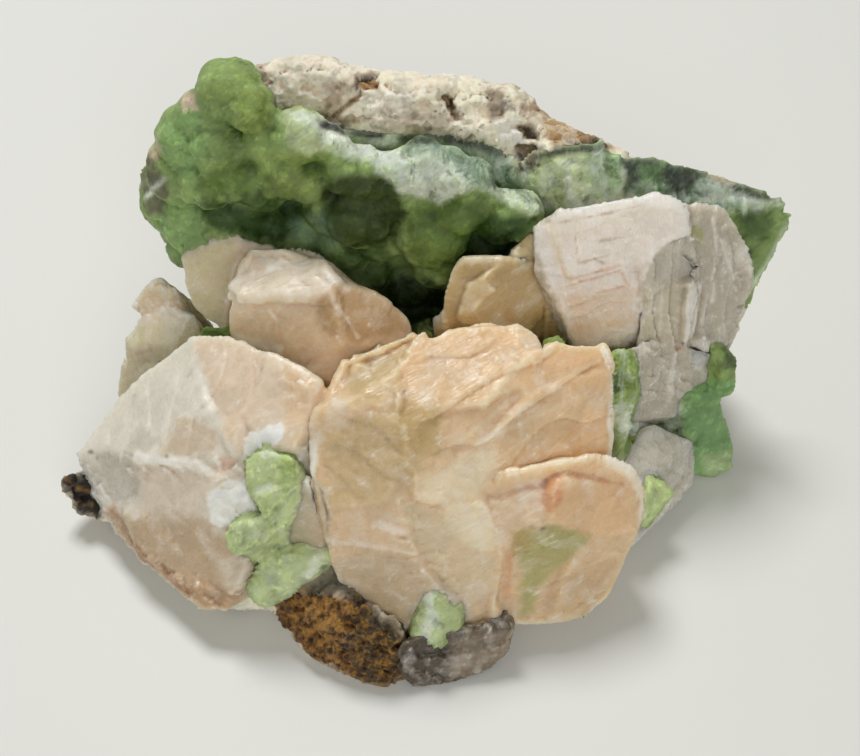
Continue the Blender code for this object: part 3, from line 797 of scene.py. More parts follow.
def roughened(obj, view, steps, chips, seed):
    """Steps and chips have an amount in mm, a width in mm, a direction or none, and a shape."""
    points = points_of(obj)
    normals = soft_normals(obj, 2)
    everywhere = np.ones(len(points))
    moves = 0.08 * rolling(points, 5.0, seed) + 0.04 * rolling(points, 1.7, seed + 1)
    moves += 0.12 * chipped(points, everywhere, 3.5, seed) + 0.06 * chipped(points, everywhere, 1.4, seed)
    for amount, width, direction, shape in steps:
        moves += amount * view.cover(shape, 12) * stepped(points, direction, width, seed)
    for amount, width, shape in chips:
        moves += amount * chipped(points, view.cover(shape, 5), width, seed)
    place_points(obj, points + normals * moves[:, None])


def calcite_colours(obj, view, base, tone, patches, depth=0.7, left_part=None):
    """The face's own lightness goes under the painted patches."""
    tint = np.tile(linear(CALCITE[base]), (len(tone), 1)) * (1 + 0.05 * tone[:, None])
    if left_part:
        colour, border = left_part
        share = step(0.5 + (border - points_of(obj)[:, 0]) / 3)[:, None]
        tint = tint * (1 - share) + np.array(linear(CALCITE[colour])) * share
    keep_colour(obj, "tint", painted(view, tint, patches, CALCITE))
    keep_value(obj, "hollow", hollow_of(obj, 5, depth))


# %% The calcites' colours
CALCITE = {
    "milk": "#E4DFD2",
    "chalk": "#FFFCF4",
    "smoke": "#C2BAAA",
    "pink": "#E2CCB2",
    "coral": "#E0B8A0",
    "peach": "#E2C59E",
    "apricot": "#EAC498",
    "flame": "#CF8756",
    "honey": "#C4B084",
    "amber": "#BEA266",
    "cream": "#F2E9CE",
    "tan": "#C0A27A",
    "rust": "#9C6A35",
    "umber": "#4A3422",
    "bark": "#564A36",
    "leaf": "#A3A65A",
    "mist": "#C0B096",
    "sage": "#D8CEAA",
    "lilac": "#F4ECE4",
}

# %% [markdown]
# ## The front cluster
#
# Four large calcites and a small grey one grew into each other here. The left one is milky
# with a tan foot, the middle ones are peach, and the lower right one holds an orange block
# and a tongue of green prehnite inside it.

# %% Outlines of the front crystals
LEFT_CRYSTAL = [
    (60, 455), (78, 440), (100, 415), (125, 380), (160, 355), (190, 333), (225, 338), (252, 350),
    (285, 362), (322, 382), (318, 440), (313, 478), (285, 495), (268, 520), (262, 560), (250, 620),
    (180, 620), (60, 520),
]
LOWER_RIGHT_CRYSTAL = [
    (480, 498), (500, 475), (530, 470), (550, 462), (585, 453), (625, 460), (650, 480), (652, 530),
    (625, 590), (595, 622), (540, 640), (505, 640), (498, 590), (503, 548), (490, 515),
]
SMALL_GREY_CRYSTAL = [
    (266, 520), (283, 493), (302, 476), (326, 488), (331, 520), (330, 562), (318, 560), (262, 565),
]
PEACH_TOP = [
    (425, 340), (455, 324), (495, 330), (527, 328), (538, 352), (512, 372), (483, 405), (440, 410),
    (402, 396), (400, 368), (408, 350),
]
LIT_CREAM_FACE = [(420, 478), (470, 455), (487, 440), (498, 463), (480, 492), (478, 500), (420, 498)]
LIT_CREAM_WEDGE = [(440, 500), (478, 501), (492, 520), (504, 549), (480, 553), (450, 532)]
BEIGE_FACE = [(400, 500), (445, 515), (498, 560), (496, 595), (475, 600), (445, 590), (420, 555)]
SHADED_GREY_FOOT = [
    (330, 562), (370, 550), (420, 560), (452, 600), (425, 634), (380, 628), (340, 600), (318, 585),
]
ORANGE_BLOCK = [(552, 480), (566, 475), (628, 485), (631, 528), (592, 536), (550, 521)]

# %% Faces of the front crystals
FRONT_FACES = [
    (0.0, 0, 0, [(125, 383), (160, 360), (188, 345), (197, 372), (215, 410), (180, 415), (160, 455),
                 (128, 448), (85, 450), (100, 418)]),
    (0.0, 0.05, 0, [(192, 340), (228, 343), (262, 360), (262, 378), (242, 412), (236, 448), (222, 425),
                    (207, 395)]),
    (0.1, 0, -0.04, [(265, 360), (318, 384), (300, 420), (292, 445), (262, 430), (244, 412), (262, 380)]),
    (-0.25, 0.06, -0.05, [(180, 415), (160, 457), (217, 455), (212, 425)]),
    (-0.1, -0.08, -0.06, [(100, 455), (135, 447), (146, 470), (142, 500), (110, 498), (98, 475)]),
    (0.0, 0, 0, [(142, 470), (200, 475), (220, 480), (210, 520), (150, 510), (130, 500)]),
    (0.1, 0, 0, [(130, 512), (215, 525), (245, 560), (235, 585), (190, 575), (150, 555)]),
    (0.3, 0, 0.05, [(246, 442), (264, 428), (281, 429), (282, 441), (266, 451), (248, 463)]),
    (0.3, 0, 0.05, [(212, 492), (222, 478), (245, 480), (249, 515), (222, 526), (212, 520)]),
    (0.1, 0, 0.03, PEACH_TOP),
    (0.0, -0.05, 0.04, [(340, 368), (352, 357), (412, 337), (408, 352), (398, 372), (398, 398), (360, 410),
                        (330, 400)]),
    (0.0, -0.06, 0, [(322, 412), (360, 412), (398, 400), (400, 440), (385, 500), (325, 505), (315, 450)]),
    (-0.1, 0.05, 0.02, [(537, 355), (570, 345), (600, 343), (612, 366), (570, 372), (520, 388),
                        (498, 395), (512, 374)]),
    (0.1, 0.04, 0, [(600, 372), (613, 400), (608, 455), (560, 456), (520, 466), (498, 463), (488, 440),
                    (520, 405)]),
    (0.0, 0, 0, [(440, 412), (483, 407), (515, 390), (518, 402), (486, 438), (440, 452), (405, 440)]),
    (0.15, 0.0, 0.05, LIT_CREAM_FACE),
    (0.1, 0.03, -0.05, LIT_CREAM_WEDGE),
    (-0.1, 0, -0.03, BEIGE_FACE),
    (-0.2, -0.03, -0.04, SHADED_GREY_FOOT),
    (0.0, 0, 0, [(330, 512), (400, 500), (418, 552), (370, 548), (325, 540)]),
    (0.0, 0.08, 0, [(504, 500), (545, 492), (548, 520), (512, 532), (500, 550), (492, 515)]),
    (0.2, 0, 0.03, ORANGE_BLOCK),
    (0.1, -0.04, 0.06, [(500, 476), (530, 470), (585, 456), (622, 463), (632, 484), (566, 474),
                        (545, 488), (490, 495)]),
    (0.0, 0.05, -0.05, [(592, 538), (631, 530), (620, 570), (590, 612), (555, 615), (570, 565)]),
    (0.0, 0, 0, [(514, 535), (560, 526), (588, 536), (565, 562), (536, 590), (520, 612), (503, 600)]),
    (0.0, -0.05, 0.05, [(272, 520), (286, 496), (302, 480), (322, 492), (326, 520), (318, 556), (270, 556)]),
]

# %% Steps and chips on the front crystals
streak_way = across_face(0.5, -0.86)
FRONT_STEPS = [
    (0.45, 7.0, streak_way, [(420, 345), (600, 345), (613, 400), (606, 458), (500, 462), (420, 450)]),
    (0.30, 5.0, across_face(0.9, -0.3), [(180, 340), (262, 355), (236, 440), (150, 440), (120, 400)]),
    (0.30, 6.0, across_face(0.3, -0.9), [(505, 540), (620, 535), (600, 612), (510, 615)]),
    (0.25, 4.5, across_face(-0.6, -0.8), [(320, 400), (400, 400), (400, 500), (325, 500)]),
]
FRONT_CHIPS = [
    (0.5, 2.5, [(246, 442), (265, 427), (282, 428), (282, 441), (248, 463)]),
    (0.5, 2.5, [(212, 492), (222, 478), (245, 480), (249, 515), (222, 526)]),
    (0.5, 2.2, [26, (130, 462), (180, 466), (240, 468)]),
    (0.6, 2.5, [18, (85, 460), (100, 500), (115, 530), (140, 552), (185, 590)]),
    (0.45, 2.5, [14, (300, 380), (312, 430), (296, 455)]),
    (0.5, 2.2, [(195, 585), (245, 588), (235, 620), (190, 615)]),
    (0.35, 2.0, [10, (455, 632), (540, 625)]),
    (0.35, 2.0, [8, (425, 340), (400, 368), (400, 398)]),
    (0.35, 2.4, [(380, 520), (420, 515), (470, 590), (430, 600), (400, 560)]),
    (0.3, 2.0, [12, (632, 480), (642, 530)]),
    (0.35, 2.4, [(252, 352), (318, 378), (300, 395), (255, 370)]),
]

# %% Colours of the front crystals
FRONT_PATCHES = [
    ("milk", 1, 4, LEFT_CRYSTAL),
    ("mist", 0.75, 3, SMALL_GREY_CRYSTAL),
    ("pink", 0.75, 6, [(192, 335), (252, 345), (322, 380), (318, 440), (296, 455), (240, 455), (222, 425)]),
    ("peach", 0.6, 8, [(285, 368), (325, 384), (320, 430), (295, 450), (285, 410)]),
    ("pink", 0.5, 8, [(250, 375), (262, 380), (242, 412), (236, 445), (225, 430), (228, 390)]),
    ("tan", 0.5, 5, [(180, 415), (160, 457), (217, 455), (214, 430)]),
    ("smoke", 0.5, 3, [(140, 425), (160, 440), (142, 456), (126, 449)]),
    ("smoke", 0.55, 4, [(98, 455), (135, 446), (150, 475), (145, 503), (108, 502)]),
    ("pink", 0.5, 8, [(135, 462), (245, 462), (250, 480), (212, 490), (205, 520), (145, 515)]),
    ("coral", 0.55, 3, [(222, 456), (236, 455), (236, 468), (222, 469)]),
    ("tan", 0.8, 12, [(105, 508), (210, 522), (250, 545), (262, 590), (240, 620), (180, 600), (120, 540)]),
    ("rust", 0.6, 4, [9, (112, 512), (124, 525), (142, 552), (172, 577), (190, 592)]),
    ("rust", 0.35, 5, [(192, 582), (245, 585), (238, 618), (200, 618)]),
    ("milk", 0.5, 8, [(215, 555), (248, 560), (250, 592), (225, 585)]),
    ("chalk", 0.95, 1.5, [(246, 442), (252, 432), (265, 427), (281, 427), (282, 441), (266, 451),
                          (246, 464)]),
    ("chalk", 0.95, 1.5, [(212, 492), (222, 478), (245, 480), (249, 515), (222, 526), (211, 521)]),
    ("chalk", 0.6, 3, [10, (140, 458), (165, 461), (200, 466)]),
    ("chalk", 0.8, 2, [7, (204, 467), (212, 471)]),
    ("milk", 0.6, 4, [(296, 445), (312, 442), (313, 480), (300, 482)]),
    ("honey", 0.55, 14, [(320, 430), (405, 400), (440, 410), (430, 460), (400, 500), (330, 510)]),
    ("amber", 0.6, 8, [(400, 405), (438, 402), (440, 450), (405, 462), (395, 430)]),
    ("honey", 0.7, 8, [(340, 368), (352, 357), (412, 337), (408, 352), (398, 372), (398, 398), (360, 410)]),
    ("milk", 0.45, 8, [(335, 398), (352, 398), (345, 428), (325, 428)]),
    ("apricot", 0.5, 10, [(530, 358), (605, 350), (612, 385), (560, 392), (520, 385)]),
    ("apricot", 0.45, 4, [(563, 441), (575, 425), (600, 404), (611, 420), (608, 456), (580, 452)]),
    ("cream", 0.35, 4, [9, (530, 357), (512, 372), (483, 405)]),
    ("cream", 0.25, 4, [5, (600, 362), (520, 395), (440, 455)]),
    ("apricot", 0.3, 4, [4, (596, 368), (516, 402), (450, 460)]),
    ("cream", 0.25, 4, [5, (560, 405), (480, 440)]),
    ("pink", 0.45, 14, [(345, 505), (420, 498), (500, 560), (498, 610), (450, 615), (420, 560), (330, 545)]),
    # Painted highlight: the cream face and wedge face up towards the light and are painted paler.
    ("cream", 0.6, 6, LIT_CREAM_FACE),
    ("cream", 0.65, 4, LIT_CREAM_WEDGE),
    ("chalk", 0.7, 2, [3, (480, 500), (492, 520), (503, 548)]),
    ("sage", 0.35, 5, BEIGE_FACE),
    # Painted shade: the grey foot faces down, away from the light, and is painted greyer.
    ("mist", 0.6, 7, SHADED_GREY_FOOT),
    ("chalk", 0.4, 3, [4, (322, 541), (370, 546), (418, 554)]),
    ("chalk", 0.5, 3, [9, (378, 526), (402, 532)]),
    ("pink", 0.5, 6, [6, (425, 634), (455, 632), (545, 624)]),
    ("peach", 0.9, 3, LOWER_RIGHT_CRYSTAL),
    ("pink", 0.5, 8, [(482, 498), (545, 470), (548, 520), (512, 532), (500, 560), (488, 515)]),
    ("apricot", 0.6, 4, ORANGE_BLOCK),
    ("flame", 0.55, 4, [(545, 482), (560, 478), (562, 500), (550, 515), (540, 505)]),
    ("flame", 0.5, 2, [3, (568, 475), (622, 484)]),
    ("flame", 0.45, 2, [4, (525, 489), (540, 492)]),
    ("chalk", 0.5, 4, [8, (605, 460), (632, 476), (642, 500), (640, 530)]),
    ("leaf", 0.7, 5, [(515, 530), (560, 526), (590, 535), (566, 562), (537, 590), (533, 612), (520, 613),
                       (522, 570), (513, 545)]),
    ("amber", 0.7, 3, [(512, 530), (535, 528), (530, 545), (516, 560), (510, 545)]),
    ("flame", 0.4, 3, [6, (510, 555), (507, 600)]),
    ("tan", 0.4, 8, [(550, 570), (620, 560), (600, 610), (545, 615)]),
    ("chalk", 0.7, 1.5, [3, (603, 347), (612, 370), (613, 400), (608, 455)]),
    ("flame", 0.5, 3, [5, (490, 323), (500, 328)]),
    ("milk", 0.5, 2, [4, (285, 494), (303, 478), (324, 490), (330, 515)]),
    ("leaf", 0.4, 5, [(265, 545), (310, 545), (310, 562), (265, 562)]),
    ("umber", 0.9, 1, [2.5, (541, 529), (543, 529)]),
    ("umber", 0.9, 1, [2.5, (91, 452), (93, 452)]),
    ("umber", 0.8, 1, [2.0, (168, 456), (170, 457)]),
    ("umber", 0.7, 1, [2.0, (202, 572), (204, 573)]),
    ("umber", 0.7, 1, [1.8, (404, 392), (405, 394)]),
]

# %% Front cluster
front, front_tone = calcite_net("calcite_front", "calcite_front_cluster", 0.43, 2, 0.15, 11)
view = View(front, 21)
flattened(front, view, FRONT_FACES)
worn(front, 1)
roughened(front, view, FRONT_STEPS, FRONT_CHIPS, 22)
calcite_colours(front, view, "peach", front_tone, FRONT_PATCHES, left_part=("sage", -18))
finish_piece(front, ["calcite_front_cluster"], calcite_satin)

# %% [markdown]
# ## The crystals at the rear left
#
# A greenish one and a pinkish one stand side by side. The pinkish one lost its top to a
# cleavage break, which left a pale slab with a ragged lower edge.

# %% Rear left cluster
rear, rear_tone = calcite_net("calcite_rear_left", "calcite_rear_left_cluster", 0.3, 3, 0.15, 12)
view = View(rear, 23)
REAR_SLAB = [(228, 296), (236, 262), (262, 250), (315, 260), (336, 287), (312, 297), (255, 297)]
flattened(rear, view, [
    (0.0, -0.05, 0, [(182, 300), (178, 262), (200, 246), (231, 234), (235, 256), (226, 298), (222, 320)]),
    (0.35, 0, 0.08, REAR_SLAB),
    (0.0, 0.03, -0.05, [(228, 300), (312, 300), (340, 296), (345, 335), (300, 365), (240, 345), (225, 330)]),
    (0.0, 0.08, 0, [(338, 290), (372, 298), (412, 330), (370, 340), (348, 335)]),
])
worn(rear, 1)
roughened(rear, view, [
    (0.25, 5.0, across_face(0.8, -0.6), [(228, 300), (400, 300), (400, 335), (240, 345)]),
], [
    (0.4, 2.0, [8, (226, 297), (255, 299), (312, 299), (336, 289)]),
    (0.4, 2.2, [14, (236, 345), (275, 355)]),
], 24)
worn(rear, 1)
calcite_colours(rear, view, "pink", rear_tone, [
    ("sage", 0.85, 4, [(178, 300), (176, 262), (200, 244), (234, 230), (237, 258), (228, 298), (225, 335)]),
    ("sage", 0.5, 3, [7, (280, 250), (320, 262), (352, 290)]),
    ("milk", 0.55, 3, REAR_SLAB),
    ("chalk", 0.6, 2, [3.5, (228, 298), (255, 299), (312, 299), (330, 290)]),
    ("coral", 0.3, 4, [(250, 262), (262, 262), (264, 268), (250, 268)]),
    ("chalk", 0.6, 2, [(265, 262), (280, 262), (280, 268), (266, 268)]),
    ("tan", 0.9, 8, [(318, 297), (345, 290), (395, 304), (416, 335), (350, 342), (322, 332)]),
    ("chalk", 0.5, 2, [2.5, (270, 311), (278, 325)]),
    ("coral", 0.5, 2, [3, (278, 325), (281, 340)]),
    ("chalk", 0.4, 2, [2.5, (332, 296), (357, 336)]),
    ("chalk", 0.5, 4, [10, (238, 338), (275, 352)]),
    ("coral", 0.3, 8, [(300, 345), (340, 350), (335, 375), (300, 372)]),
])
finish_piece(rear, ["calcite_rear_left_cluster"], calcite_satin)

# %% The honey crystal behind the centre
middle, middle_tone = calcite_net("calcite_middle", "calcite_middle_crystal", 0.26, 3, 0.15, 14, gap=6)
view = View(middle, 25)
LIGHT_FACE = [(459, 312), (468, 283), (478, 279), (496, 290)]
flattened(middle, view, [
    (0.1, 0.05, 0.05, LIGHT_FACE),
    (0.0, 0.08, -0.05, [(478, 279), (512, 252), (546, 284), (524, 328), (460, 314), (496, 290)]),
    (0.0, -0.05, 0, [(448, 322), (456, 276), (462, 263), (500, 262), (478, 278), (466, 284), (457, 314)]),
])
worn(middle, 1)
roughened(middle, view, [], [(0.4, 2.0, [(430, 310), (448, 308), (448, 328), (430, 328)])], 26)
worn(middle, 1)
calcite_colours(middle, view, "honey", middle_tone, [
    ("cream", 0.45, 2, LIGHT_FACE),
    ("peach", 0.2, 8, [(450, 275), (520, 250), (540, 285), (520, 325), (450, 322)]),
    ("amber", 0.5, 5, [(530, 235), (556, 260), (560, 335), (528, 335), (548, 285)]),
    ("milk", 0.6, 3, [(430, 310), (448, 308), (448, 328), (430, 328)]),
    ("flame", 0.3, 4, [3, (505, 318), (524, 328)]),
])
finish_piece(middle, ["calcite_middle_crystal"], calcite_satin)

# %% [markdown]
# ## The block at the right
#
# Its left half is a pale pink cleavage block with incised edges. The right half is grey and
# fractured into upright blades.

# %% Right block
right, right_tone = calcite_net("calcite_right", "calcite_right_block", 0.32, 2, 0.15, 15, gap=7)
view = View(right, 27)
PINK_BLOCK = [
    (530, 235), (560, 212), (650, 196), (682, 203), (688, 232), (655, 252), (642, 275), (641, 325),
    (620, 343), (572, 343), (553, 290),
]
flattened(right, view, [
    (0.4, 0, 0.04, [(560, 216), (650, 200), (680, 206), (684, 230), (655, 248), (625, 262), (570, 278),
                    (557, 245)]),
    (0.0, -0.06, 0, [(534, 236), (556, 244), (569, 278), (556, 288), (538, 264)]),
    (0.45, 0, -0.04, [(566, 284), (622, 268), (630, 285), (596, 293), (570, 305)]),
    (-0.35, 0, -0.04, [(572, 308), (636, 288), (638, 318), (620, 340), (578, 340)]),
    (-0.2, 0.06, 0, [(657, 248), (690, 240), (697, 274), (660, 280), (646, 300)]),
    (0.1, 0.05, 0, [(697, 205), (728, 215), (745, 268), (720, 330), (705, 330), (702, 280)]),
    (0.6, -0.06, 0, [(688, 285), (702, 282), (694, 328), (683, 342)]),
    (-0.1, 0, 0, [(642, 300), (684, 290), (680, 340), (642, 340)]),
    (-0.1, 0.05, -0.05, [(645, 345), (718, 340), (712, 375), (680, 405), (642, 400)]),
])
worn(right, 1)
roughened(right, view, [
    (0.7, 3.4, across_face(0.97, 0.1), [(655, 245), (755, 245), (735, 400), (642, 400), (642, 300)]),
    (0.25, 6.0, across_face(0.2, -0.9), PINK_BLOCK),
], [
    (0.35, 2.0, [5, (557, 245), (563, 270), (570, 280), (625, 263)]),
    (0.3, 2.0, [5, (565, 286), (620, 269), (628, 285), (596, 293)]),
    (0.6, 2.5, [(740, 240), (760, 245), (757, 290), (735, 330)]),
    (0.5, 2.5, [(642, 345), (700, 345), (690, 400), (642, 400)]),
    (0.4, 2.0, [8, (545, 222), (600, 208), (655, 198)]),
], 28)
calcite_colours(right, view, "smoke", right_tone, [
    ("lilac", 0.95, 3, PINK_BLOCK),
    ("pink", 0.6, 8, [(560, 292), (636, 288), (640, 325), (620, 343), (575, 343)]),
    ("peach", 0.5, 4, [8, (575, 330), (632, 322)]),
    ("coral", 0.7, 2, [2.5, (557, 245), (563, 270), (570, 278), (625, 262)]),
    ("coral", 0.7, 2, [2.5, (565, 286), (620, 269), (628, 285), (596, 292)]),
    ("coral", 0.3, 5, [(565, 292), (590, 292), (585, 306), (568, 305)]),
    ("umber", 0.35, 1, [1.5, (593, 257), (603, 262)]),
    ("cream", 0.4, 6, [8, (552, 228), (562, 262), (575, 285)]),
    ("leaf", 0.6, 3, [(688, 226), (702, 227), (700, 243), (690, 242)]),
    ("lilac", 0.7, 2, [(688, 285), (702, 283), (692, 330), (683, 342)]),
    ("lilac", 0.5, 4, [(738, 243), (757, 248), (752, 275), (738, 268)]),
    ("sage", 0.4, 6, [(642, 285), (682, 285), (680, 342), (642, 342)]),
    ("milk", 0.35, 5, [(657, 248), (690, 240), (697, 272), (662, 278)]),
    ("coral", 0.6, 2, [6, (673, 346), (680, 349)]),
    ("umber", 0.8, 2, [(724, 348), (740, 350), (738, 368), (722, 364)]),
    ("chalk", 0.5, 2, [3, (655, 250), (642, 277), (641, 322)]),
    ("lilac", 0.6, 3, [4, (712, 218), (716, 250), (712, 300)]),
    ("lilac", 0.5, 3, [3, (662, 285), (660, 335)]),
    ("lilac", 0.5, 3, [4, (674, 350), (668, 400)]),
    ("lilac", 0.5, 3, [(698, 345), (712, 345), (704, 375), (694, 372)]),
    ("rust", 0.4, 2, [1.5, (560, 222), (640, 206)]),
    ("rust", 0.35, 1, [1.2, (574, 226), (578, 262), (622, 250)]),
    ("rust", 0.35, 1, [1.2, (600, 240), (626, 236), (634, 222)]),
    ("chalk", 0.4, 3, [3, (697, 285), (690, 335)]),
    ("chalk", 0.4, 3, [3, (720, 240), (735, 280)]),
])
finish_piece(right, ["calcite_right_block"], calcite_bladed)

# %% [markdown]
# ## The small clear crystals
#
# Thin wedges and grains at the left edge, the glassy foot at the right and the base piece in
# front pass more light than the big ones, so their material is clearer.

# %% Left edge, right foot and base piece
edge, edge_tone = calcite_net("calcite_left_edge", "calcite_left_edge_crystals", 0.27, 3, 0.15, 13, gap=4.5)
view = View(edge, 29)
roughened(edge, view, [], [(0.5, 2.2, [(128, 272), (180, 272), (182, 325), (130, 330)])], 30)
worn(edge, 1)
calcite_colours(edge, view, "sage", edge_tone, [
    ("pink", 0.8, 4, [(130, 275), (182, 272), (182, 325), (130, 328)]),
    ("cream", 0.5, 5, [(125, 325), (165, 318), (175, 345), (130, 360)]),
    ("amber", 0.5, 3, [4, (124, 330), (128, 356), (150, 350)]),
    ("milk", 0.6, 5, [(160, 305), (196, 305), (194, 345), (165, 345)]),
    ("smoke", 0.5, 5, [(112, 345), (190, 345), (175, 365), (120, 402)]),
])
finish_piece(edge, ["calcite_left_edge_crystals"], calcite_clear)

foot, foot_tone = calcite_net("calcite_foot", "calcite_right_foot", 0.25, 3, 0.15, 16, gap=4.5)
view = View(foot, 31)
roughened(foot, view, [], [(0.4, 2.2, [(625, 430), (700, 430), (700, 500), (625, 500)])], 32)
worn(foot, 1)
calcite_colours(foot, view, "milk", foot_tone, [
    ("cream", 0.5, 5, [(622, 448), (655, 448), (655, 482), (622, 482)]),
    ("smoke", 0.4, 5, [(655, 440), (697, 440), (697, 500), (660, 500)]),
])
finish_piece(foot, ["calcite_right_foot"], calcite_clear)

base, base_tone = calcite_net("calcite_base", "calcite_base_piece", 0.25, 3, 0.15, 17, gap=4.5)
view = View(base, 33)
roughened(base, view, [], [(0.35, 2.2, [(395, 620), (520, 620), (520, 700), (395, 700)])], 34)
worn(base, 1)
calcite_colours(base, view, "bark", base_tone, [
    ("umber", 0.35, 12, [(395, 640), (440, 636), (430, 690), (395, 690)]),
    ("pink", 0.3, 6, [(450, 640), (518, 628), (512, 660), (450, 680)]),
])
finish_piece(base, ["calcite_base_piece"], calcite_clear)

# %% [markdown]
# ## The prehnite crust
#
# Prehnite grows as fans of fibres that end in round lumps. The lumps run into each other and
# leave sharp creases. Along the top the crust was broken across, and there it is pale,
# fibrous and angular. The large lumps are balls joined to the frame's solid before the net
# goes over it, and smaller domes then rise from the net.

# %% The large lumps, in millimetres: place and radius
LUMPS = [
    (-33, 26, 67, 5.5), (-29, 22, 67, 3.6), (-36.5, 25, 62, 5.5), (-40.5, 24.5, 58.5, 5.5),
    (-35, 21, 59, 5), (-43, 24, 52, 5.5), (-38, 21, 53, 5), (-32, 20, 54.5, 4.5),
    (-46, 27, 42.5, 5.5), (-41, 24, 41.5, 6.5), (-43, 27, 33, 5.5), (-34.5, 23, 43, 6),
    (-27, 21, 61, 4), (-21.5, 20, 63, 4.6), (-24.5, 19.5, 56.5, 5), (-20.5, 18.5, 55, 4),
    (-28.5, 20, 52.5, 4), (-17, 20, 61, 3.5), (-14.5, 19, 57, 4), (-11, 19, 55, 4.5),
    (-16.5, 20, 47.5, 5), (-12.5, 18, 48, 6), (-8, 20, 41, 5), (-15, 21, 38, 5),
    (-23.5, 24, 36.5, 5.5), (-29.5, 24, 38.5, 5.5), (-19.5, 25, 28.5, 5), (-12.5, 24, 28, 4.5),
    (-25, 26, 27.5, 6), (-6, 19, 50.5, 4), (-2, 18, 51.5, 4), (0.5, 17, 45, 6.5),
    (2, 17.5, 37, 5), (5, 16.5, 49.5, 4.5), (8.5, 16.5, 50.5, 4), (12, 17, 48, 4.5),
    (10, 18.5, 41.5, 4), (15.5, 16.5, 49, 3.5), (6.5, 20, 36.5, 4), (14.5, 21, 37.5, 4),
    (12, 23, 30.5, 5), (-3, 25, 24, 5), (4, 27, 17.5, 5), (-7.5, 27, 18.5, 5),
    (-1.5, 20, 57, 4), (2.5, 19, 56, 4), (6.5, 18, 54.5, 4), (-5, 19, 55.5, 4),
]
FRAME_MIDDLE = Vector((-1.26, 1.67, 0))


def with_balls(bm, balls, swell):
    for *place, radius in balls:
        spot = Matrix.Translation((Vector(place) - FRAME_MIDDLE) * MM)
        bmesh.ops.create_icosphere(bm, subdivisions=3, radius=(radius + swell) * MM, matrix=spot)
    return bm


# %% Prehnite's colours
PREHNITE = {
    "green": "#90A868",
    "lime": "#8DA056",
    "moss": "#4E6A14",
    # Painted shade: the next three dark greens are painted where the wall lies in shadow.
    "olive_shade": "#243804",
    "painted_shade": "#1E4406",
    "night": "#0A2405",
    "pale": "#CAD6AA",
    "frost": "#DAE6D0",
    "teal": "#809E88",
    # Icy white, used also for painted highlights and glints.
    "ice_and_highlight": "#EAF1E6",
    "rim": "#161A18",
    "spring": "#CEDCA4",
    "meadow": "#98AE62",
    "sea": "#86AC72",
    "smoky": "#6E675A",
    "sand": "#CDB9A4",
    "umber": "#5C4227",
}

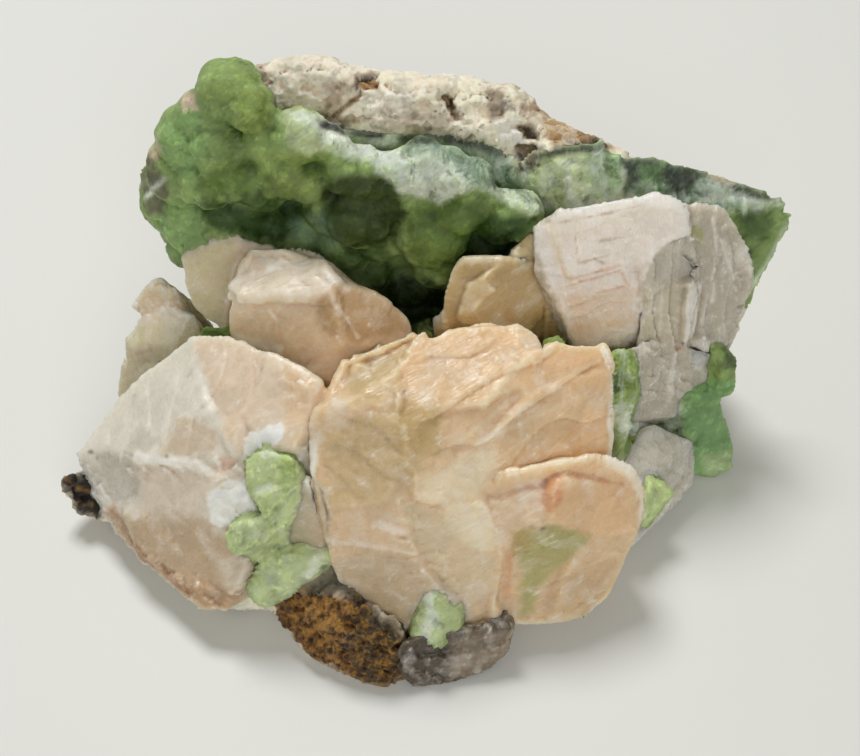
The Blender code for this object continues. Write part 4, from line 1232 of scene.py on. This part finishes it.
# %% Where the crust is broken across
BAND = [
    (286, 112), (340, 118), (400, 126), (470, 122), (540, 138), (620, 138), (690, 158), (775, 195),
    (800, 205), (720, 215), (640, 200), (562, 208), (530, 216), (480, 188), (440, 202), (400, 192),
    (372, 165), (332, 152),
]
CRUST_PATCHES = [
    ("lime", 0.5, 6, [(203, 98), (212, 68), (240, 60), (262, 78), (268, 100), (240, 108)]),
    ("lime", 0.8, 2, [(236, 94), (268, 88), (276, 120), (256, 140), (240, 135)]),
    ("sea", 0.5, 8, [(160, 122), (200, 105), (208, 150), (192, 182), (165, 165)]),
    # Painted shade: the darkest green patches below darken the recess under the overhanging wall.
    ("olive_shade", 0.3, 8, [(202, 125), (250, 130), (255, 165), (205, 160)]),
    ("sea", 0.4, 8, [(150, 200), (205, 200), (205, 250), (180, 280), (160, 240)]),
    ("moss", 0.6, 5, [(215, 165), (250, 168), (255, 196), (205, 200), (195, 185)]),
    ("painted_shade", 0.85, 5, [(200, 200), (254, 196), (262, 175), (305, 200), (312, 212), (300, 228), (285, 242),
                       (230, 236), (205, 224)]),
    ("lime", 0.6, 5, [(256, 150), (330, 155), (322, 180), (305, 198), (262, 195), (255, 175)]),
    ("pale", 0.85, 3, [(280, 115), (300, 103), (335, 125), (332, 145), (310, 158), (288, 150)]),
    ("moss", 0.5, 5, [(300, 160), (328, 158), (322, 180), (302, 180)]),
    ("olive_shade", 0.9, 7, [(325, 182), (360, 172), (396, 180), (406, 215), (385, 246), (350, 256), (318, 225)]),
    ("teal", 0.45, 7, [(290, 216), (322, 215), (340, 245), (325, 258), (290, 240)]),
    ("painted_shade", 0.7, 7, [(330, 255), (385, 246), (400, 275), (380, 290), (340, 275)]),
    ("moss", 0.6, 5, [(404, 225), (420, 202), (455, 200), (474, 235), (460, 284), (430, 276), (410, 256)]),
    ("moss", 0.7, 6, [(436, 200), (500, 205), (490, 240), (470, 235), (458, 205)]),
    ("painted_shade", 0.9, 6, [(478, 215), (540, 216), (516, 250), (500, 262), (462, 262), (472, 235)]),
    ("night", 0.75, 4, [(480, 236), (515, 230), (514, 250), (500, 262), (468, 262)]),
    ("night", 0.9, 5, [(374, 288), (400, 275), (445, 286), (448, 310), (430, 328), (412, 328), (385, 306)]),
    ("frost", 0.8, 4, BAND),
    # Painted highlights: the icy white patches and strokes on the broken band.
    ("ice_and_highlight", 0.7, 4, [(298, 118), (345, 125), (395, 138), (400, 165), (375, 162), (340, 146)]),
    ("ice_and_highlight", 0.4, 5, [(398, 160), (460, 156), (474, 185), (440, 200), (402, 188)]),
    ("teal", 0.7, 5, [(408, 130), (480, 128), (510, 165), (520, 190), (480, 186), (440, 158), (405, 152)]),
    ("spring", 0.7, 5, [(535, 160), (560, 145), (598, 150), (590, 190), (560, 208), (525, 190)]),
    ("sea", 0.6, 5, [(585, 145), (620, 145), (622, 185), (600, 200), (590, 180)]),
    ("ice_and_highlight", 0.7, 3, [9, (568, 175), (572, 205), (620, 200), (680, 196)]),
    ("ice_and_highlight", 0.5, 3, [6, (600, 150), (606, 195)]),
    ("teal", 0.8, 4, [(622, 158), (690, 165), (760, 198), (720, 212), (660, 200), (626, 195)]),
    ("rim", 0.8, 4, [(622, 155), (650, 147), (690, 158), (704, 178), (678, 196), (662, 178), (640, 180),
                     (626, 192)]),
    ("sea", 0.6, 6, [(640, 165), (664, 166), (662, 196), (642, 198)]),
    ("rim", 0.98, 3, [13, (688, 166), (712, 174), (740, 188), (766, 194), (790, 200)]),
    ("ice_and_highlight", 0.6, 3, [8, (702, 200), (740, 196), (760, 210)]),
    ("green", 0.85, 5, [(726, 208), (792, 206), (770, 250), (752, 290), (738, 245)]),
    ("painted_shade", 0.6, 5, [(735, 212), (772, 210), (768, 235), (745, 240)]),
    ("frost", 0.6, 3, [6, (796, 206), (776, 246), (752, 288)]),
    ("rim", 0.95, 2, [9, (325, 125), (352, 132), (380, 135)]),
    ("rim", 0.85, 2, [12, (404, 140), (440, 138), (470, 142), (505, 152)]),
    ("rim", 0.9, 2, [9, (532, 156), (560, 150), (600, 146), (622, 152)]),
    ("sand", 0.8, 4, [(470, 118), (545, 110), (600, 134), (545, 148), (520, 168), (498, 140)]),
    ("ice_and_highlight", 0.7, 4, [(494, 122), (520, 122), (530, 140), (505, 144)]),
    ("umber", 0.9, 2, [(514, 150), (540, 146), (536, 166), (520, 171)]),
    ("night", 0.8, 2, [(518, 138), (536, 136), (536, 152), (520, 152)]),
    ("sand", 0.9, 2, [(181, 91), (197, 92), (199, 109), (184, 110)]),
    ("sand", 0.8, 2, [(149, 134), (161, 136), (160, 160), (149, 161)]),
    ("sand", 0.8, 2, [(703, 160), (722, 165), (738, 181), (730, 188), (706, 176)]),
    ("smoky", 0.8, 4, [(134, 162), (152, 155), (168, 190), (165, 215), (148, 215)]),
    # Painted glints of icy white on the smoky end.
    ("ice_and_highlight", 0.6, 2, [6, (148, 195), (162, 180)]),
    ("ice_and_highlight", 0.5, 2, [4, (165, 268), (176, 278)]),
]

# %% The green hills between the calcites
HILLS = [
    ("spring", 1.0, 4, [(210, 440), (340, 440), (340, 620), (210, 620)]),
    ("meadow", 0.7, 3, [(280, 450), (296, 460), (296, 478), (280, 495)]),
    # Painted highlights: the icy white strokes and spots on the hills.
    ("ice_and_highlight", 0.7, 2, [8, (265, 455), (275, 452)]),
    ("ice_and_highlight", 0.6, 2, [7, (258, 490), (268, 488)]),
    ("pale", 0.6, 4, [(225, 520), (250, 515), (260, 535), (240, 548)]),
    ("pale", 0.5, 6, [(262, 565), (320, 553), (325, 565), (300, 590), (270, 590)]),
    ("ice_and_highlight", 0.6, 3, [9, (318, 556), (308, 572)]),
    ("umber", 0.6, 3, [6, (250, 606), (280, 612), (300, 598)]),
    ("spring", 1.0, 4, [(405, 575), (470, 575), (470, 660), (405, 660)]),
    ("ice_and_highlight", 0.8, 3, [9, (427, 585), (431, 612), (426, 630)]),
    ("moss", 0.5, 3, [8, (420, 640), (452, 632)]),
    ("moss", 0.9, 3, [(180, 312), (230, 312), (230, 350), (180, 350)]),
    ("meadow", 0.9, 3, [(535, 322), (580, 322), (580, 350), (535, 355)]),
    ("meadow", 0.9, 4, [(600, 335), (650, 335), (650, 470), (600, 470)]),
    ("ice_and_highlight", 0.6, 4, [(615, 405), (640, 400), (636, 440), (618, 436)]),
    ("painted_shade", 0.6, 4, [(608, 375), (622, 372), (620, 400), (608, 395)]),
    ("frost", 0.7, 5, [(640, 395), (690, 395), (684, 440), (640, 436)]),
    ("spring", 0.8, 4, [(638, 470), (680, 470), (676, 530), (640, 530)]),
    ("sea", 1.0, 4, [(684, 380), (745, 380), (742, 485), (682, 485)]),
    ("rim", 0.7, 3, [(722, 345), (745, 345), (742, 370), (722, 366)]),
    ("pale", 0.5, 4, [(700, 455), (735, 450), (736, 480), (706, 482)]),
]
BROKEN = [
    (0.95, 5, BAND),
    (0.8, 3, [(598, 335), (650, 335), (650, 460), (598, 460)]),
    (0.8, 3, [(640, 390), (690, 390), (684, 440), (640, 440)]),
    (0.7, 3, [(410, 578), (440, 578), (440, 640), (412, 640)]),
    (0.6, 3, [10, (318, 556), (306, 574)]),
    (0.5, 3, [(222, 515), (262, 512), (262, 552), (226, 552)]),
    (0.35, 3, [(225, 440), (335, 440), (335, 612), (225, 612)]),
]

DARK_RIMS = [
    (1, 3, [14, (325, 126), (352, 134), (380, 138)]),
    (1, 3, [12, (404, 140), (440, 138), (470, 142), (505, 152)]),
    (1, 3, [10, (532, 156), (560, 150), (600, 146), (622, 152)]),
    (1, 4, [(622, 155), (650, 147), (690, 158), (704, 178), (678, 196), (662, 178), (640, 180), (626, 192)]),
    (1, 3, [11, (688, 164), (712, 174), (740, 188), (766, 194), (790, 200)]),
]

# %% Prehnite crust
# The smallest domes and the fans of fibres give each lump its own uneven skin.
crust = even_net("prehnite_crust_grown", with_balls(node_shape("prehnite_crust"), LUMPS, 0.3), 0.61)
worn(crust, 1, 0.15)
view = View(crust, 35)
points = points_of(crust)
normals = soft_normals(crust, 6)
broken = cover_of_all(view, BROKEN) * (1 - 0.8 * cover_of_all(view, DARK_RIMS))
lump, lump_size, lump_tone = domed(points, 6.5, 31)
small, small_size, small_tone = domed(points, 2.2, 32)
rise = (1 - broken) * (0.8 * (lump - 0.7) * lump_size + 0.25 * (small - 0.7) * small_size)
rise += 0.9 * chipped(points, broken, 3.6, 36) + 0.45 * chipped(points, broken, 1.8, 37)
fans, fan_tone = faceted(points, normals, 4.4, 0.3, 0.04, 33)
rise += 0.65 * (1 - broken) * np.clip(fans, -0.5, 0.35)
rise = blurred(rise, edges_of(crust), 1)
place_points(crust, points + normals * rise[:, None])
CALCITES = [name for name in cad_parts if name.startswith("calcite")]
close_seams(crust, CALCITES, 1.8, 0.6)
keep_value(crust, "hollow", hollow_of(crust, 8, 1.6))
keep_value(crust, "broken", broken)
tint = np.tile(linear(PREHNITE["green"]), (len(points), 1))
tint = painted(view, tint, CRUST_PATCHES + HILLS, PREHNITE)
tint = tint * (1 + 0.10 * lump_tone + 0.05 * small_tone + 0.08 * fan_tone)[:, None]
keep_colour(crust, "tint", tint)
finish_piece(crust, ["prehnite_crust"], prehnite_waxy)

# %% [markdown]
# ## The host rock
#
# The rock is broken, so its surface is chips and grains. Its top is a pinkish granular layer
# with rusty holes, and in front a lump of brown iron ore hangs on it, full of cavities.

# %% Rock colours and where they lie
ROCK = {
    "sand": "#FFF2DA",
    "rose": "#FFEAD4",
    "quartz": "#FFFCF2",
    "umber": "#5E4527",
    "rust": "#7D5524",
    "ochre": "#A98245",
    "night": "#1E150C",
    "slate": "#77736A",
    "gloom": "#3C3822",
    "rim": "#1E2220",
}
RUSTY = [(272, 596), (310, 592), (345, 596), (376, 612), (406, 640), (408, 700), (340, 700), (290, 650)]
DARK_CHIP = [(52, 455), (84, 452), (106, 515), (90, 522), (55, 520)]
GLOOM = [(290, 560), (352, 555), (404, 615), (416, 650), (394, 640), (345, 598), (300, 596)]
ROCK_PATCHES = [
    ("quartz", 0.7, 8, [(268, 60), (345, 66), (348, 98), (274, 98)]),
    ("rose", 0.6, 10, [(262, 52), (345, 60), (440, 75), (440, 110), (300, 115), (268, 100)]),
    ("quartz", 0.5, 6, [(355, 92), (415, 92), (412, 116), (365, 122)]),
    ("umber", 0.8, 3, [(243, 56), (256, 52), (266, 84), (256, 94), (246, 80)]),
    ("rust", 0.8, 3, [(250, 58), (262, 58), (268, 86), (260, 88)]),
    ("ochre", 0.9, 2, [(357, 76), (376, 73), (378, 86), (364, 92), (355, 84)]),
    ("night", 0.9, 1, [4, (378, 74), (360, 76), (355, 86), (362, 96)]),
    ("umber", 0.8, 2, [5, (360, 96), (345, 106), (332, 118)]),
    ("rust", 0.5, 4, [(325, 85), (345, 82), (340, 118), (322, 118)]),
    ("night", 0.85, 2, [7, (446, 98), (452, 106), (457, 118)]),
    ("umber", 0.55, 4, [(380, 110), (455, 116), (440, 140), (398, 140), (378, 126)]),
    ("rust", 0.4, 4, [8, (300, 112), (330, 118), (372, 118)]),
    ("umber", 0.7, 3, [(483, 90), (502, 88), (504, 120), (490, 122)]),
    ("slate", 0.7, 3, [(500, 100), (518, 100), (518, 110), (502, 112)]),
    ("rust", 0.8, 3, [(518, 102), (548, 106), (546, 118), (522, 117)]),
    ("quartz", 0.8, 4, [(494, 120), (520, 122), (530, 142), (503, 144)]),
    ("night", 0.9, 2, [(518, 124), (536, 124), (538, 140), (524, 140)]),
    ("night", 0.85, 2, [(514, 146), (540, 146), (536, 168), (520, 172)]),
    ("ochre", 0.9, 4, [(538, 104), (575, 116), (628, 148), (600, 152), (552, 142), (536, 124)]),
    ("umber", 0.6, 3, [5, (560, 118), (585, 132), (612, 146)]),
    ("night", 0.6, 1, [3, (278, 52), (292, 60)]),
    ("night", 0.6, 1, [2, (300, 80), (305, 82)]),
    ("rust", 1.0, 4, RUSTY),
    ("ochre", 0.5, 5, [(300, 600), (330, 600), (350, 640), (330, 660), (300, 620)]),
    ("gloom", 0.6, 8, [(350, 604), (392, 620), (412, 650), (404, 692), (372, 694), (348, 650)]),
    ("gloom", 0.9, 5, GLOOM),
    ("rim", 0.9, 2, [8, (325, 123), (352, 130), (380, 132)]),
    ("rim", 0.8, 2, [7, (404, 134), (440, 132), (470, 137)]),
    ("rim", 0.8, 2, [6, (555, 148), (580, 142), (606, 144)]),
    ("night", 1.0, 3, DARK_CHIP),
    ("ochre", 0.6, 2, [2, (62, 472), (72, 486), (84, 492)]),
    ("ochre", 0.6, 2, [2, (76, 502), (92, 506)]),
]

# %% Host rock
rock = even_net("host_rock_broken", node_shape("host_rock"), 0.57)
worn(rock, 2, 0.4)
view = View(rock, 43)
points = points_of(rock)
normals = soft_normals(rock, 6)
everywhere = np.ones(len(points))
rusty = cover_of_all(view, [(1, 6, RUSTY), (1, 3, DARK_CHIP)])
pits = cover_of_all(view, [
    (1, 2, [(356, 75), (378, 73), (378, 88), (360, 92)]),
    (1, 2, [7, (446, 98), (457, 118)]),
    (1, 2, [(516, 146), (540, 146), (536, 168), (520, 172)]),
    (1, 2, [(518, 124), (536, 124), (538, 140), (524, 140)]),
    (0.6, 2, [4, (360, 96), (332, 118)]),
])
faces, face_tone = faceted(points, normals, 4.5, 0.4, 0.03, 41)
moves = 0.4 * np.clip(faces, -0.8, 0.4) + 0.45 * chipped(points, everywhere, 4.0, 5)
moves += 0.4 * chipped(points, everywhere, 2.0, 6) - 1.6 * pits
cavity = np.maximum(rolling(points, 2.6, 44) + 0.6 * rolling(points, 1.3, 45), 0)
moves += rusty * (0.9 * chipped(points, rusty, 2.2, 7) - 1.3 * cavity)
moves = np.clip(moves, -2.2, 0.8)
place_points(rock, points + normals * moves[:, None])
close_seams(rock, [*CALCITES, "prehnite_crust"], 1.8, 0.6)
keep_value(rock, "hollow", hollow_of(rock, 8, 1.6))
keep_value(rock, "rust", np.maximum(rusty, view.cover(GLOOM, 5)))
keep_value(rock, "ore", view.cover(RUSTY, 6))
tint = np.tile(linear(ROCK["sand"]), (len(points), 1)) * (1 + 0.07 * face_tone)[:, None]
# The weathered back and foot hold more iron, in clouds about 20 mm wide.
clouds = rolling(points, 20, 46) + 0.5 * rolling(points, 6, 47) + (25 - points[:, 2]) / 40
weathered = (0.75 * step(clouds) * (1 - view.open))[:, None]
tint = tint * (1 - weathered) + np.array(linear(ROCK["ochre"])) * weathered
dark_clouds = (0.7 * step(2 * rolling(points, 14, 48) - 0.8) * (1 - view.open))[:, None]
tint = tint * (1 - dark_clouds) + np.array(linear(ROCK["slate"])) * dark_clouds
keep_colour(rock, "tint", painted(view, tint, ROCK_PATCHES, ROCK))
finish_piece(rock, ["host_rock"], rock_broken)

# %% [markdown]
# ## Floor and light
#
# A pale bench and soft light from a large window behind the specimen. The light from the
# back rakes over the lumps and comes through the thin edges of the crystals.

# %% Floor
floor_shape = bmesh.new()
bmesh.ops.create_grid(floor_shape, x_segments=1, y_segments=1, size=3.0)
floor = new_object("floor", floor_shape)
floor_material, tree, shader, coords = start_material("painted_bench")
shader.inputs["Base Color"].default_value = (*linear("#DEDFDC"), 1)
shader.inputs["Roughness"].default_value = 0.6
floor.data.materials.append(floor_material)


# %% Lamps and sky
def soft_lamp(name, place, target, width, power):
    data = bpy.data.lights.new(name, "AREA")
    data.shape = "DISK"
    data.size = width
    data.energy = power
    lamp = bpy.data.objects.new(name, data)
    lamp.location = place
    lamp.rotation_euler = (Vector(target) - Vector(place)).to_track_quat("-Z", "Y").to_euler()
    bpy.context.scene.collection.objects.link(lamp)


soft_lamp("window", (-0.14, 0.38, 0.8), (0, 0, 0.03), 0.28, 4.8)
soft_lamp("fill", (0.1, -0.75, 0.55), (0, 0, 0.03), 0.6, 2.9)
world = bpy.data.worlds.new("studio")
bpy.context.scene.world = world
world.use_nodes = True
world.node_tree.nodes["Background"].inputs["Color"].default_value = (*linear("#F5F1E4"), 1)
world.node_tree.nodes["Background"].inputs["Strength"].default_value = 0.31
bpy.context.scene.view_settings.view_transform = "Standard"
